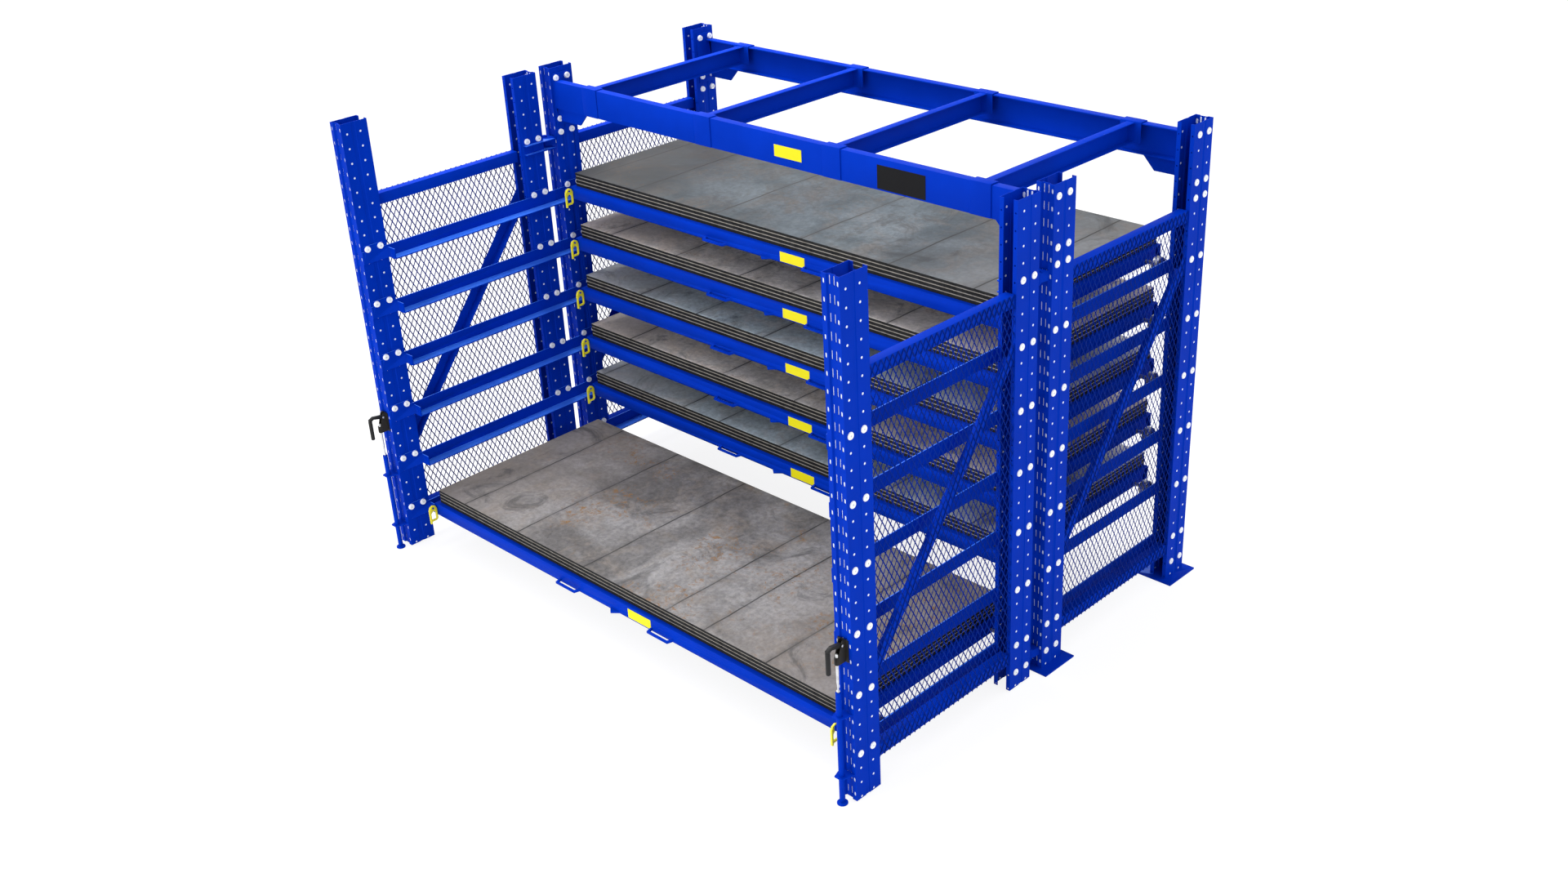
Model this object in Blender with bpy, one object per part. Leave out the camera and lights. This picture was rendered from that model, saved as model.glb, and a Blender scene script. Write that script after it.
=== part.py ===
"""Roll-out rack for sheet metal, with two doors that swing open and carry the drawers when they are out.

Metres, +Z up. The front of the rack faces -Y, and the origin lies on the floor under the middle of the whole
part. The rack is drawn as it stands ready for loading: both doors open in line with the sides, their floor
bolts down, the lowest drawer rolled out onto the doors and the other five drawers in.
"""

import math

import bmesh
import bpy
from mathutils import Matrix, Vector

# Fits and turned pieces
FIT = 0.0003
WELD = 0.001
OVERRUN = 0.002
ROUND_SIDES = 12
SMALL_SIDES = 8
HEX_SIDES = 6
SMOOTH_BELOW_DEGREES = 35

# Frame: four fixed uprights and two on each door
UPRIGHT_HEIGHT = 2.438
RACK_WIDTH = 3.487
FRAME_DEPTH = 1.228
HINGE_GAP = 0.095
DOOR_LIFT = 0.010

# Upright section: an open channel with a recessed web, a shallow bead in each side and two lips
POST_WIDTH = 0.094
POST_DEPTH = 0.155
POST_WALL = 0.003
WEB_RECESS = 0.008
WEB_RECESS_WIDTH = 0.046
WEB_RECESS_SLOPE = 0.005
SIDE_BEAD_DEPTH = 0.0025
SIDE_BEAD_WIDTH = 0.026
POST_LIP = 0.020
HOLE_COLUMN_FRONT = 0.033
HOLE_COLUMN_SPACING = 0.0775
HOLE_PITCH = 0.0762
HOLE_FIRST = 0.0195

# Foot of each fixed upright
BASE_WIDTH = 0.200
BASE_DEPTH = 0.228
BASE_THICKNESS = 0.008

# Bolts
BOLT_HEAD_ACROSS = 0.026
BOLT_HEAD_HEIGHT = 0.010

# Drawer levels, counted in hole rows
LEVELS = 6
LOWEST_LEVEL_ROW = 3
ROWS_ABOVE_LEVELS = 4
FOOT_BOLT_ROW = 1

# Drawer rails
RAIL_THICKNESS = 0.005
RAIL_FLANGE_THICKNESS = 0.006
RAIL_FLANGE_WIDTH = 0.064
RAIL_DROP = 0.078
RAIL_WEB_TOP_DROP = 0.010
RAIL_TAB_RISE = 0.018
RAIL_TAB_MARGIN = 0.018
RAIL_JOINT = 0.002
RAIL_STOP_HEIGHT = 0.056
RAIL_STOP_THICKNESS = 0.005

# Tie bars, brace and expanded mesh of a side
SIDE_BAR_WIDTH = 0.050
SIDE_BAR_HEIGHT = 0.060
SIDE_BAR_WALL = 0.003
TOP_BAR_DROP = 0.050
BOTTOM_BAR_Z = 0.155
BRACE_WIDTH = 0.055
BRACE_THICKNESS = 0.005
BRACE_TOP_DROP = 0.718
BRACE_BOTTOM_Z = 0.580
MESH_THICKNESS = 0.004
MESH_COLUMNS = 4
MESH_ROWS = 4
MESH_STRAND = 0.020
MESH_MARGIN = 0.015

# Top beams with their end connectors, and the ties between them
BEAM_HEIGHT = 0.152
BEAM_FLANGE = 0.045
BEAM_WALL = 0.006
BEAM_INSET = 0.018
BEAM_TOP_DROP = 0.073
CONNECTOR_THICKNESS = 0.006
CONNECTOR_EDGE = 0.014
CONNECTOR_ROWS = 3
HAUNCH_THICKNESS = 0.008
HAUNCH_TOP_LENGTH = 0.245
HAUNCH_FOOT_LENGTH = 0.176
HAUNCH_DROP = 0.073
TIE_COUNT = 4
TIE_PITCH = 0.893
TIE_WIDTH = 0.045
TIE_HEIGHT = 0.100
TIE_WALL = 0.005
TIE_CAP_WIDTH = 0.118
TIE_CAP_THICKNESS = 0.005

# Door hinges
HINGE_PIN_RADIUS = 0.008
HINGE_HEAD_RADIUS = 0.014
HINGE_HEAD_HEIGHT = 0.008
HINGE_LUG_RADIUS = 0.020
HINGE_LUG_THICKNESS = 0.006
HINGE_LUG_REACH = 0.135
HINGE_LUG_FLANGE = 0.024
HINGE_CLEVIS_HEIGHT = 0.056
HINGE_BLOCK_WIDTH = 0.060
HINGE_TOP_DROP = 0.408
HINGE_BOTTOM_Z = 0.100

# Floor bolt of each door
ROD_STANDOFF = 0.042
ROD_RADIUS = 0.013
ROD_TOP_Z = 0.585
ROD_NECK_RADIUS = 0.008
ROD_NECK_Z = 0.022
ROD_FOOT_RADIUS = 0.025
ROD_FOOT_HEIGHT = 0.012
ROD_NUT_RADIUS = 0.011
ROD_NUT_HEIGHT = 0.016
PLUNGER_RADIUS = 0.007
PLUNGER_TOP_Z = 0.775
GUIDE_Z_LOW = 0.145
GUIDE_Z_HIGH = 0.460
GUIDE_THICKNESS = 0.006
GUIDE_ROOT_WIDTH = 0.084
GUIDE_TIP_WIDTH = 0.040
GUIDE_REACH = 0.066

# Toggle clamp that lifts the floor bolt
CLAMP_PLATE_WIDTH = 0.060
CLAMP_PLATE_THICKNESS = 0.004
CLAMP_BOTTOM_Z = 0.726
CLAMP_TOP_Z = 0.834
BARREL_WIDTH = 0.026
BARREL_HEIGHT = 0.036
CHEEK_THICKNESS = 0.004
CHEEK_REACH = 0.044
PIVOT_STANDOFF = 0.020
PIVOT_Z = 0.812
PIVOT_RADIUS = 0.004
EYE_RADIUS = 0.010
ELBOW_STANDOFF = 0.078
ELBOW_RISE = 0.012
ARM_HALF_DEPTH = 0.007
GRIP_STANDOFF = 0.096
GRIP_RADIUS = 0.011
GRIP_LENGTH = 0.112

# Drawers
TRAVEL_SHORT = 0.051
DRAWER_HALF_WIDTH = 1.545
DRAWER_HEIGHT = 0.070
DRAWER_TOP_RISE = 0.020
DRAWER_WALL = 0.005
DRAWER_FLANGE = 0.045
DRAWER_LIP = 0.025
RIB_COUNT = 7
RIB_WIDTH = 0.040
RIB_HEIGHT = 0.040
HANDLE_SPACING = 0.710
HANDLE_WIDTH = 0.170
HANDLE_REACH = 0.036
HANDLE_BAR = 0.011
HANDLE_RISE = 0.006
TOOTH_WIDTH = 0.075
TOOTH_REACH = 0.030
TOOTH_THICKNESS = 0.010

# Sheets of steel lying in each drawer
SHEET_LENGTH = 3.048
SHEET_MARGIN = 0.077
SHEET_SETBACK = 0.006
SHEET_STACK_HEIGHT = 0.078
SHEET_COUNT = 4
SHEET_SEAM_HEIGHT = 0.0015
SHEET_SEAM_DEPTH = 0.003

# Axles of the drawers, each with its two wheels
WHEEL_RADIUS = 0.040
WHEEL_WIDTH = 0.034
WHEEL_CLEARANCE = 0.013
AXLE_RADIUS = 0.010
AXLE_SETBACK = 0.120

# Latches at the front corners of each drawer
LATCH_LENGTH = 0.108
LATCH_TAIL = 0.012
LATCH_DEPTH = 0.051
LATCH_WIDTH = 0.012
LATCH_BAR = 0.010
LATCH_STANDOFF = 0.003
LATCH_GAP = 0.003
LATCH_TOP_RISE = 0.018
LATCH_PIN_RADIUS = 0.005
LATCH_PIN_INSET = 0.016
LATCH_PIN_END = 0.003
LATCH_EAR = 0.012

# Places that follow from the sizes
HALF_WIDTH = RACK_WIDTH / 2
INNER_HALF = HALF_WIDTH - POST_WIDTH
POST_MIDDLE = HALF_WIDTH - POST_WIDTH / 2
BASE_OVERHANG = (BASE_DEPTH - POST_DEPTH) / 2
LEVER_REACH = GRIP_STANDOFF + GRIP_RADIUS
FRAME_FRONT = (HINGE_GAP + LEVER_REACH - BASE_OVERHANG) / 2
FRAME_BACK = FRAME_FRONT + FRAME_DEPTH
DOOR_BACK = FRAME_FRONT - HINGE_GAP
DOOR_FRONT = DOOR_BACK - FRAME_DEPTH
PIN_Y = FRAME_FRONT - HINGE_GAP / 2
ROD_Y = DOOR_FRONT - ROD_STANDOFF
TOP_HOLE_ROW = int((UPRIGHT_HEIGHT - HOLE_FIRST) / HOLE_PITCH)
ROWS_PER_LEVEL = (TOP_HOLE_ROW - ROWS_ABOVE_LEVELS - LOWEST_LEVEL_ROW) // LEVELS
TOP_BAR_ROW = LOWEST_LEVEL_ROW + LEVELS * ROWS_PER_LEVEL
BRACE_TOP_Z = UPRIGHT_HEIGHT - BRACE_TOP_DROP
HINGE_TOP_Z = UPRIGHT_HEIGHT - HINGE_TOP_DROP
SHEET_WIDTH = FRAME_DEPTH - SHEET_MARGIN
DRAWER_TRAVEL = FRAME_DEPTH - TRAVEL_SHORT
RAIL_TRACK = RAIL_FLANGE_THICKNESS - RAIL_DROP
AXLE_RISE = RAIL_TRACK + WHEEL_RADIUS + FIT
BEAM_TOP = UPRIGHT_HEIGHT - BEAM_TOP_DROP
BEAM_BOTTOM = BEAM_TOP - BEAM_HEIGHT
CONNECTOR_INNER = INNER_HALF - FIT - CONNECTOR_THICKNESS
BAR_OUTER = HALF_WIDTH - POST_WALL - MESH_THICKNESS
BAR_INNER = BAR_OUTER - SIDE_BAR_WIDTH
WHEEL_OUTER = INNER_HALF - FIT - RAIL_THICKNESS - WHEEL_CLEARANCE
WHEEL_INNER = WHEEL_OUTER - WHEEL_WIDTH
LATCH_OUTER = DRAWER_HALF_WIDTH - DRAWER_WALL - LATCH_STANDOFF
LATCH_INNER = LATCH_OUTER - LATCH_WIDTH


def row_z(row):
    """Height of a row of holes in the uprights."""
    return HOLE_FIRST + row * HOLE_PITCH


def level_z(level):
    """Height of the bolts that hold a drawer's rails; level 1 is the highest."""
    return row_z(LOWEST_LEVEL_ROW + (LEVELS - level) * ROWS_PER_LEVEL)


def bore_radius(radius, sides):
    """Radius of a faceted hole in which a round piece turns freely."""
    return (radius + FIT) / math.cos(math.pi / sides)


def clear_scene():
    for old in list(bpy.data.objects):
        bpy.data.objects.remove(old, do_unlink=True)


def paint(name, colour, roughness, metallic):
    """A Principled material with a plain colour."""
    made = bpy.data.materials.new(name)
    made.use_nodes = True
    shader = made.node_tree.nodes["Principled BSDF"]
    shader.inputs["Base Color"].default_value = (*colour, 1.0)
    shader.inputs["Roughness"].default_value = roughness
    shader.inputs["Metallic"].default_value = metallic
    made.diffuse_color = (*colour, 1.0)
    return made


def at_depth(axis, u, v, depth):
    """A point of an outline drawn square to an axis: (y, z) for X, (x, z) for Y and (x, y) for Z."""
    if axis == "X":
        return Vector((depth, u, v))
    if axis == "Y":
        return Vector((u, depth, v))
    return Vector((u, v, depth))


def block(low, high):
    """A rectangular block between two corners."""
    shape = bmesh.new()
    low, high = Vector(low), Vector(high)
    middle = Matrix.Translation((low + high) / 2)
    bmesh.ops.create_cube(shape, size=1, matrix=middle @ Matrix.Diagonal((*(high - low), 1)))
    return shape


def plate(outline, axis, start, end, holes=()):
    """An outline with any holes, extruded along an axis."""
    shape = bmesh.new()
    edges = []
    for loop in [outline, *holes]:
        corners = [shape.verts.new(at_depth(axis, u, v, start)) for u, v in loop]
        edges += [shape.edges.new((corners[index - 1], corner)) for index, corner in enumerate(corners)]
    filled = bmesh.ops.triangle_fill(shape, use_beauty=True, edges=edges)
    faces = [item for item in filled["geom"] if isinstance(item, bmesh.types.BMFace)]
    extruded = bmesh.ops.extrude_face_region(shape, geom=faces)
    moved = [item for item in extruded["geom"] if isinstance(item, bmesh.types.BMVert)]
    bmesh.ops.translate(shape, verts=moved, vec=at_depth(axis, 0, 0, end - start))
    return shape


def circle(centre, radius, sides):
    """A regular outline round a point."""
    angles = [2 * math.pi * index / sides for index in range(sides)]
    return [(centre[0] + radius * math.cos(a), centre[1] + radius * math.sin(a)) for a in angles]


def arc(centre, radius, start, end, steps):
    """Points along part of a circle, both ends included; the angles are in degrees."""
    angles = [math.radians(start + (end - start) * index / steps) for index in range(steps + 1)]
    return [(centre[0] + radius * math.cos(a), centre[1] + radius * math.sin(a)) for a in angles]


def rod(centre, axis, radius, start, end, sides):
    """A round or hexagonal bar."""
    return plate(circle(centre, radius, sides), axis, start, end)


def turned(profile, centre, axis, sides):
    """A turned piece from (radius, distance along the axis) pairs; both ends lie on the axis."""
    shape = bmesh.new()
    rings = []
    for radius, along in profile:
        outline = circle(centre, radius, sides) if radius else [centre]
        rings.append([shape.verts.new(at_depth(axis, u, v, along)) for u, v in outline])
    for low, high in zip(rings, rings[1:]):
        for index in range(sides):
            after = index + 1
            corners = [low[index % len(low)], low[after % len(low)]]
            corners += [high[after % len(high)], high[index % len(high)]]
            shape.faces.new(list(dict.fromkeys(corners)))
    return shape


def bent_strip(middle_line, thickness):
    """The outline of a bent strip of sheet, from the line through the middle of its thickness."""
    points = [Vector(point) for point in middle_line]
    normals = []
    for first, second in zip(points, points[1:]):
        run = (second - first).normalized()
        normals.append(Vector((-run.y, run.x)))
    left = []
    right = []
    for index, point in enumerate(points):
        before = normals[max(index - 1, 0)]
        after = normals[min(index, len(normals) - 1)]
        mitre = (before + after).normalized()
        reach = mitre * thickness / 2 / mitre.dot(before)
        left.append(tuple(point + reach))
        right.append(tuple(point - reach))
    return left + right[::-1]


def channel(low, high, wall, open_side):
    """A channel section between two corners, open towards open_side (+1 or -1) of its first direction."""
    back = low[0] if open_side > 0 else high[0]
    tip = high[0] if open_side > 0 else low[0]
    inside = back + open_side * wall
    return [
        (back, low[1]),
        (tip, low[1]),
        (tip, low[1] + wall),
        (inside, low[1] + wall),
        (inside, high[1] - wall),
        (tip, high[1] - wall),
        (tip, high[1]),
        (back, high[1]),
    ]


def helper_object(shape, collection):
    """A short-lived object that holds one closed shape for a Boolean."""
    bmesh.ops.recalc_face_normals(shape, faces=shape.faces)
    mesh = bpy.data.meshes.new("shape")
    shape.to_mesh(mesh)
    shape.free()
    made = bpy.data.objects.new("shape", mesh)
    collection.objects.link(made)
    return made


def combine(base, shapes, operation):
    """Adds a Boolean of several shapes to an object, and returns what holds them."""
    operands = bpy.data.collections.new("operands")
    bpy.context.scene.collection.children.link(operands)
    for shape in shapes:
        helper_object(shape, operands)
    boolean = base.modifiers.new(operation.lower(), "BOOLEAN")
    boolean.operation = operation
    boolean.operand_type = "COLLECTION"
    boolean.collection = operands
    boolean.solver = "EXACT"
    return operands


def fuse(shapes, cuts=()):
    """One mesh from several closed shapes that meet, less the cuts."""
    base = helper_object(shapes[0], bpy.context.scene.collection)
    used = []
    if len(shapes) > 1:
        used.append(combine(base, shapes[1:], "UNION"))
    if cuts:
        used.append(combine(base, cuts, "DIFFERENCE"))
    graph = bpy.context.evaluated_depsgraph_get()
    mesh = bpy.data.meshes.new_from_object(base.evaluated_get(graph))
    for operands in used:
        for helper in list(operands.objects):
            bpy.data.objects.remove(helper, do_unlink=True)
        bpy.data.collections.remove(operands)
    bpy.data.objects.remove(base, do_unlink=True)
    return mesh


def pivot(name, place, carrier=None):
    """An empty on a joint's axis, which carries the pieces of one moving body."""
    empty = bpy.data.objects.new(name, None)
    bpy.context.scene.collection.objects.link(empty)
    empty.location = Vector(place)
    if carrier:
        empty.location -= carrier["place"]
        empty.parent = carrier["empty"]
    return {"empty": empty, "place": Vector(place)}


def add_piece(name, shapes, material, carrier=None, side=1, cuts=()):
    """One named object from shapes drawn on the right of the rack, mirrored to the left where side is -1."""
    mesh = fuse(shapes, cuts)
    solid = bmesh.new()
    solid.from_mesh(mesh)
    if side < 0:
        bmesh.ops.scale(solid, verts=solid.verts, vec=(-1, 1, 1))
        bmesh.ops.reverse_faces(solid, faces=solid.faces)
    place = carrier["place"] if carrier else Vector((0, 0, 0))
    bmesh.ops.translate(solid, verts=solid.verts, vec=-place)
    solid.to_mesh(mesh)
    solid.free()
    mesh.name = name
    mesh.materials.clear()
    mesh.materials.append(material)
    mesh.shade_smooth()
    mesh.set_sharp_from_angle(angle=math.radians(SMOOTH_BELOW_DEGREES))
    made = bpy.data.objects.new(name, mesh)
    bpy.context.scene.collection.objects.link(made)
    if carrier:
        made.parent = carrier["empty"]


def post(face_y, inward, bottom):
    """An upright's roll-formed channel: its recessed web lies at face_y and it opens inward along Y."""
    half = (POST_WIDTH - POST_WALL) / 2
    front = POST_WALL / 2
    back = POST_DEPTH - POST_WALL / 2
    bead_middle = HOLE_COLUMN_FRONT + HOLE_COLUMN_SPACING / 2
    bead_half = SIDE_BEAD_WIDTH / 2
    recess_half = WEB_RECESS_WIDTH / 2
    right = [
        (recess_half - WEB_RECESS_SLOPE, front + WEB_RECESS),
        (recess_half, front),
        (half, front),
        (half, bead_middle - bead_half),
        (half - SIDE_BEAD_DEPTH, bead_middle - bead_half + SIDE_BEAD_DEPTH),
        (half - SIDE_BEAD_DEPTH, bead_middle + bead_half - SIDE_BEAD_DEPTH),
        (half, bead_middle + bead_half),
        (half, back),
        (half - POST_LIP, back),
    ]
    left = [(-x, y) for x, y in reversed(right)]
    section = bent_strip(left + right, POST_WALL)
    return plate([(POST_MIDDLE + x, face_y + inward * y) for x, y in section], "Z", bottom, UPRIGHT_HEIGHT)


def bolt_columns(front, back):
    """The Y places of the bolts of a side: two columns on its front upright and two on its back one."""
    near = HOLE_COLUMN_FRONT
    far = HOLE_COLUMN_FRONT + HOLE_COLUMN_SPACING
    return [front + near, front + far, back - far, back - near]


def bolt(y, row, seat, end):
    """A hexagon bolt along X: its head stands in from seat, and its shank ends at end."""
    radius = BOLT_HEAD_ACROSS / math.sqrt(3)
    return rod((y, row_z(row)), "X", radius, seat - BOLT_HEAD_HEIGHT, end, HEX_SIDES)


def post_bolts(columns):
    """The bolts that sit straight on an upright."""
    rows = (FOOT_BOLT_ROW, TOP_BAR_ROW)
    return [bolt(y, row, INNER_HALF, INNER_HALF + WELD) for y in columns for row in rows]


def base_plate(face_y, inward):
    """The square foot plate under a fixed upright."""
    middle = face_y + inward * POST_DEPTH / 2
    low = (POST_MIDDLE - BASE_WIDTH / 2, middle - BASE_DEPTH / 2, 0)
    high = (POST_MIDDLE + BASE_WIDTH / 2, middle + BASE_DEPTH / 2, BASE_THICKNESS)
    return block(low, high)


def rail(level, start, end, track_start, columns, fixed_column):
    """A drawer rail: a web bolted to two uprights, with the wheels' track along its foot.

    Where the track starts beyond the end of the web, a stop stands on it."""
    height = level_z(level)
    outer = INNER_HALF - FIT
    inner = outer - RAIL_THICKNESS
    bottom = height - RAIL_DROP
    web_top = height - RAIL_WEB_TOP_DROP
    tab_top = height + RAIL_TAB_RISE
    top_line = []
    for first, second in (columns[:2], columns[2:]):
        low = first - RAIL_TAB_MARGIN
        high = second + RAIL_TAB_MARGIN
        top_line += [(low, web_top), (low, tab_top), (high, tab_top), (high, web_top)]
    outline = [(start, bottom), (start, web_top), *top_line, (end, web_top), (end, bottom)]
    flange_edge = INNER_HALF - RAIL_FLANGE_WIDTH
    track_low = (flange_edge, track_start, bottom)
    shapes = [
        plate(outline, "X", inner, outer),
        block(track_low, (inner + WELD, end, bottom + RAIL_FLANGE_THICKNESS)),
    ]
    if track_start > start:
        stop_end = track_start + RAIL_STOP_THICKNESS
        shapes.append(block(track_low, (inner + WELD, stop_end, bottom + RAIL_STOP_HEIGHT)))
    row = LOWEST_LEVEL_ROW + (LEVELS - level) * ROWS_PER_LEVEL
    for y in columns:
        reach = INNER_HALF + WELD if y == fixed_column else inner + WELD
        shapes.append(bolt(y, row, inner, reach))
    return shapes


def rails(start, end, track_start, columns, fixed_column):
    """The rails of a side for every drawer, held to their upright by the bolts in fixed_column."""
    shapes = []
    for level in range(1, LEVELS + 1):
        shapes += rail(level, start, end, track_start, columns, fixed_column)
    return shapes


def hinge_heights():
    return (HINGE_TOP_Z, HINGE_BOTTOM_Z)


def hinge_blocks():
    """The blocks on a fixed front upright, with the headed pins that the door turns on."""
    shapes = []
    centre = (POST_MIDDLE, PIN_Y)
    half_width = HINGE_BLOCK_WIDTH / 2
    outline = [
        (POST_MIDDLE + half_width, FRAME_FRONT + WELD),
        (POST_MIDDLE - half_width, FRAME_FRONT + WELD),
        *arc(centre, HINGE_LUG_RADIUS, 180, 360, 4),
    ]
    for height in hinge_heights():
        clevis = HINGE_CLEVIS_HEIGHT / 2
        inside = clevis - HINGE_LUG_THICKNESS - FIT
        shapes.append(plate(outline, "Z", height - inside, height + inside))
        seat = clevis + FIT
        profile = [
            (0, height - seat - HINGE_HEAD_HEIGHT),
            (HINGE_HEAD_RADIUS, height - seat - HINGE_HEAD_HEIGHT),
            (HINGE_HEAD_RADIUS, height - seat),
            (HINGE_PIN_RADIUS, height - seat),
            (HINGE_PIN_RADIUS, height + seat),
            (HINGE_HEAD_RADIUS, height + seat),
            (HINGE_HEAD_RADIUS, height + seat + HINGE_HEAD_HEIGHT),
            (0, height + seat + HINGE_HEAD_HEIGHT),
        ]
        shapes.append(turned(profile, centre, "Z", SMALL_SIDES))
    return shapes


def hinge_lugs():
    """The pairs of flat lugs that reach from a door's inner upright to the hinge pins."""
    shapes = []
    pin = (POST_MIDDLE, PIN_Y)
    flange = INNER_HALF - HINGE_LUG_FLANGE
    front = DOOR_BACK - HINGE_LUG_REACH
    outline = [
        (flange, front),
        (INNER_HALF + WELD, front),
        (INNER_HALF + WELD, DOOR_BACK - WELD),
        (POST_MIDDLE + HINGE_LUG_RADIUS, DOOR_BACK - WELD),
        *arc(pin, HINGE_LUG_RADIUS, 0, 90, 3),
        (flange, PIN_Y + HINGE_LUG_RADIUS),
    ]
    hole = circle(pin, bore_radius(HINGE_PIN_RADIUS, SMALL_SIDES), SMALL_SIDES)
    for height in hinge_heights():
        top = height + HINGE_CLEVIS_HEIGHT / 2
        bottom = height - HINGE_CLEVIS_HEIGHT / 2
        shapes.append(plate(outline, "Z", top - HINGE_LUG_THICKNESS, top, [hole]))
        shapes.append(plate(outline, "Z", bottom, bottom + HINGE_LUG_THICKNESS, [hole]))
    return shapes


def rod_guides():
    """The two tapered plates on a door's outer upright that guide its floor bolt."""
    tip = DOOR_FRONT - GUIDE_REACH
    outline = [
        (POST_MIDDLE - GUIDE_ROOT_WIDTH / 2, DOOR_FRONT + WELD),
        (POST_MIDDLE + GUIDE_ROOT_WIDTH / 2, DOOR_FRONT + WELD),
        (POST_MIDDLE + GUIDE_TIP_WIDTH / 2, tip),
        (POST_MIDDLE - GUIDE_TIP_WIDTH / 2, tip),
    ]
    hole = circle((POST_MIDDLE, ROD_Y), ROD_RADIUS + FIT, SMALL_SIDES)
    return [plate(outline, "Z", z, z + GUIDE_THICKNESS, [hole]) for z in (GUIDE_Z_LOW, GUIDE_Z_HIGH)]


def side_bar(near, far, bottom):
    """A square tube between the two uprights of a side."""
    top = bottom + SIDE_BAR_HEIGHT
    wall = SIDE_BAR_WALL
    outline = [(BAR_INNER, bottom), (BAR_OUTER, bottom), (BAR_OUTER, top), (BAR_INNER, top)]
    hollow = [
        (BAR_INNER + wall, bottom + wall),
        (BAR_OUTER - wall, bottom + wall),
        (BAR_OUTER - wall, top - wall),
        (BAR_INNER + wall, top - wall),
    ]
    return plate(outline, "Y", near, far, [hollow])


def brace(near, far):
    """The sloping angle behind the mesh: a leg flat on the mesh and one that stands in at its lower edge."""
    slope = (BRACE_TOP_Z - BRACE_BOTTOM_Z) / (far - near)
    rise = BRACE_WIDTH * math.hypot(1, slope)
    edge = BRACE_THICKNESS * math.hypot(1, slope)
    flat = [
        (near, BRACE_BOTTOM_Z),
        (far, BRACE_TOP_Z),
        (far, BRACE_TOP_Z + rise),
        (near, BRACE_BOTTOM_Z + rise),
    ]
    standing = [
        (near, BRACE_BOTTOM_Z),
        (far, BRACE_TOP_Z),
        (far, BRACE_TOP_Z + edge),
        (near, BRACE_BOTTOM_Z + edge),
    ]
    return [
        plate(flat, "X", BAR_OUTER - BRACE_THICKNESS, BAR_OUTER + WELD),
        plate(standing, "X", BAR_OUTER - BRACE_WIDTH, BAR_OUTER + WELD),
    ]


def mesh_sheet(near, far, low, high, clear_low, clear_high):
    """The expanded sheet that closes a side, with its diamonds drawn coarse between two heights."""
    step_y = (far - near - 2 * MESH_MARGIN) / MESH_COLUMNS
    step_z = (clear_high - clear_low - 2 * MESH_MARGIN) / MESH_ROWS
    slant = math.hypot(step_y, step_z)
    half_y = step_y / 2 - MESH_STRAND / 2 * slant / step_z
    half_z = step_z / 2 - MESH_STRAND / 2 * slant / step_y
    diamonds = []
    for row in range(2 * MESH_ROWS - 1):
        shift = row % 2
        for column in range(MESH_COLUMNS - shift):
            y = near + MESH_MARGIN + step_y * (column + (1 + shift) / 2)
            z = clear_low + MESH_MARGIN + step_z * (row + 1) / 2
            diamonds.append([(y - half_y, z), (y, z - half_z), (y + half_y, z), (y, z + half_z)])
    outline = [(near, low), (far, low), (far, high), (near, high)]
    return plate(outline, "X", BAR_OUTER, BAR_OUTER + MESH_THICKNESS, diamonds)


def add_side_panel(name, side, front, back, material, carrier=None):
    """What fills a side between its uprights: two tie bars, the expanded sheet on them and the brace."""
    near = front + POST_DEPTH + FIT
    far = back - POST_DEPTH - FIT
    top = row_z(TOP_BAR_ROW) - TOP_BAR_DROP
    clear_low = BOTTOM_BAR_Z + SIDE_BAR_HEIGHT
    clear_high = top - SIDE_BAR_HEIGHT
    shapes = [
        mesh_sheet(near, far, BOTTOM_BAR_Z + WELD, top - WELD, clear_low, clear_high),
        side_bar(near, far, BOTTOM_BAR_Z),
        side_bar(near, far, clear_high),
        *brace(near, far),
    ]
    add_piece(name, shapes, material, carrier, side)


def mirrored_copy(shape):
    """The same shape on the other side of the rack."""
    copy = shape.copy()
    bmesh.ops.scale(copy, verts=copy.verts, vec=(-1, 1, 1))
    return copy


def both_sides(shapes):
    """The shapes of the right side and their mirror images on the left."""
    return shapes + [mirrored_copy(shape) for shape in shapes]


def add_top_beam(name, face_y, inward, material):
    """A channel beam across two uprights, with a bolted connector plate and a haunch at each end."""
    outer = face_y + inward * BEAM_INSET
    edges = sorted((outer, outer + inward * BEAM_FLANGE))
    half = CONNECTOR_INNER + WELD
    section = channel((edges[0], BEAM_BOTTOM), (edges[1], BEAM_TOP), BEAM_WALL, inward)
    shapes = [plate(section, "X", -half, half)]
    far_column = HOLE_COLUMN_FRONT + HOLE_COLUMN_SPACING
    plate_depth = far_column + HOLE_COLUMN_FRONT - CONNECTOR_EDGE
    plate_edges = sorted((face_y + inward * CONNECTOR_EDGE, face_y + inward * plate_depth))
    low = (CONNECTOR_INNER, plate_edges[0], row_z(TOP_HOLE_ROW - CONNECTOR_ROWS) - HOLE_PITCH / 2)
    high = (CONNECTOR_INNER + CONNECTOR_THICKNESS, plate_edges[1], row_z(TOP_HOLE_ROW) + HOLE_PITCH / 3)
    ends = [block(low, high)]
    haunch = [
        (half, BEAM_BOTTOM + WELD),
        (half - HAUNCH_TOP_LENGTH, BEAM_BOTTOM + WELD),
        (half - HAUNCH_TOP_LENGTH, BEAM_BOTTOM),
        (half - HAUNCH_FOOT_LENGTH, BEAM_BOTTOM - HAUNCH_DROP),
        (half, BEAM_BOTTOM - HAUNCH_DROP),
    ]
    middle = (edges[0] + edges[1]) / 2
    ends.append(plate(haunch, "Y", middle - HAUNCH_THICKNESS / 2, middle + HAUNCH_THICKNESS / 2))
    for column in (HOLE_COLUMN_FRONT, far_column):
        for row in (TOP_HOLE_ROW, TOP_HOLE_ROW - CONNECTOR_ROWS):
            ends.append(bolt(face_y + inward * column, row, CONNECTOR_INNER, CONNECTOR_INNER + WELD))
    add_piece(name, shapes + both_sides(ends), material)


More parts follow.
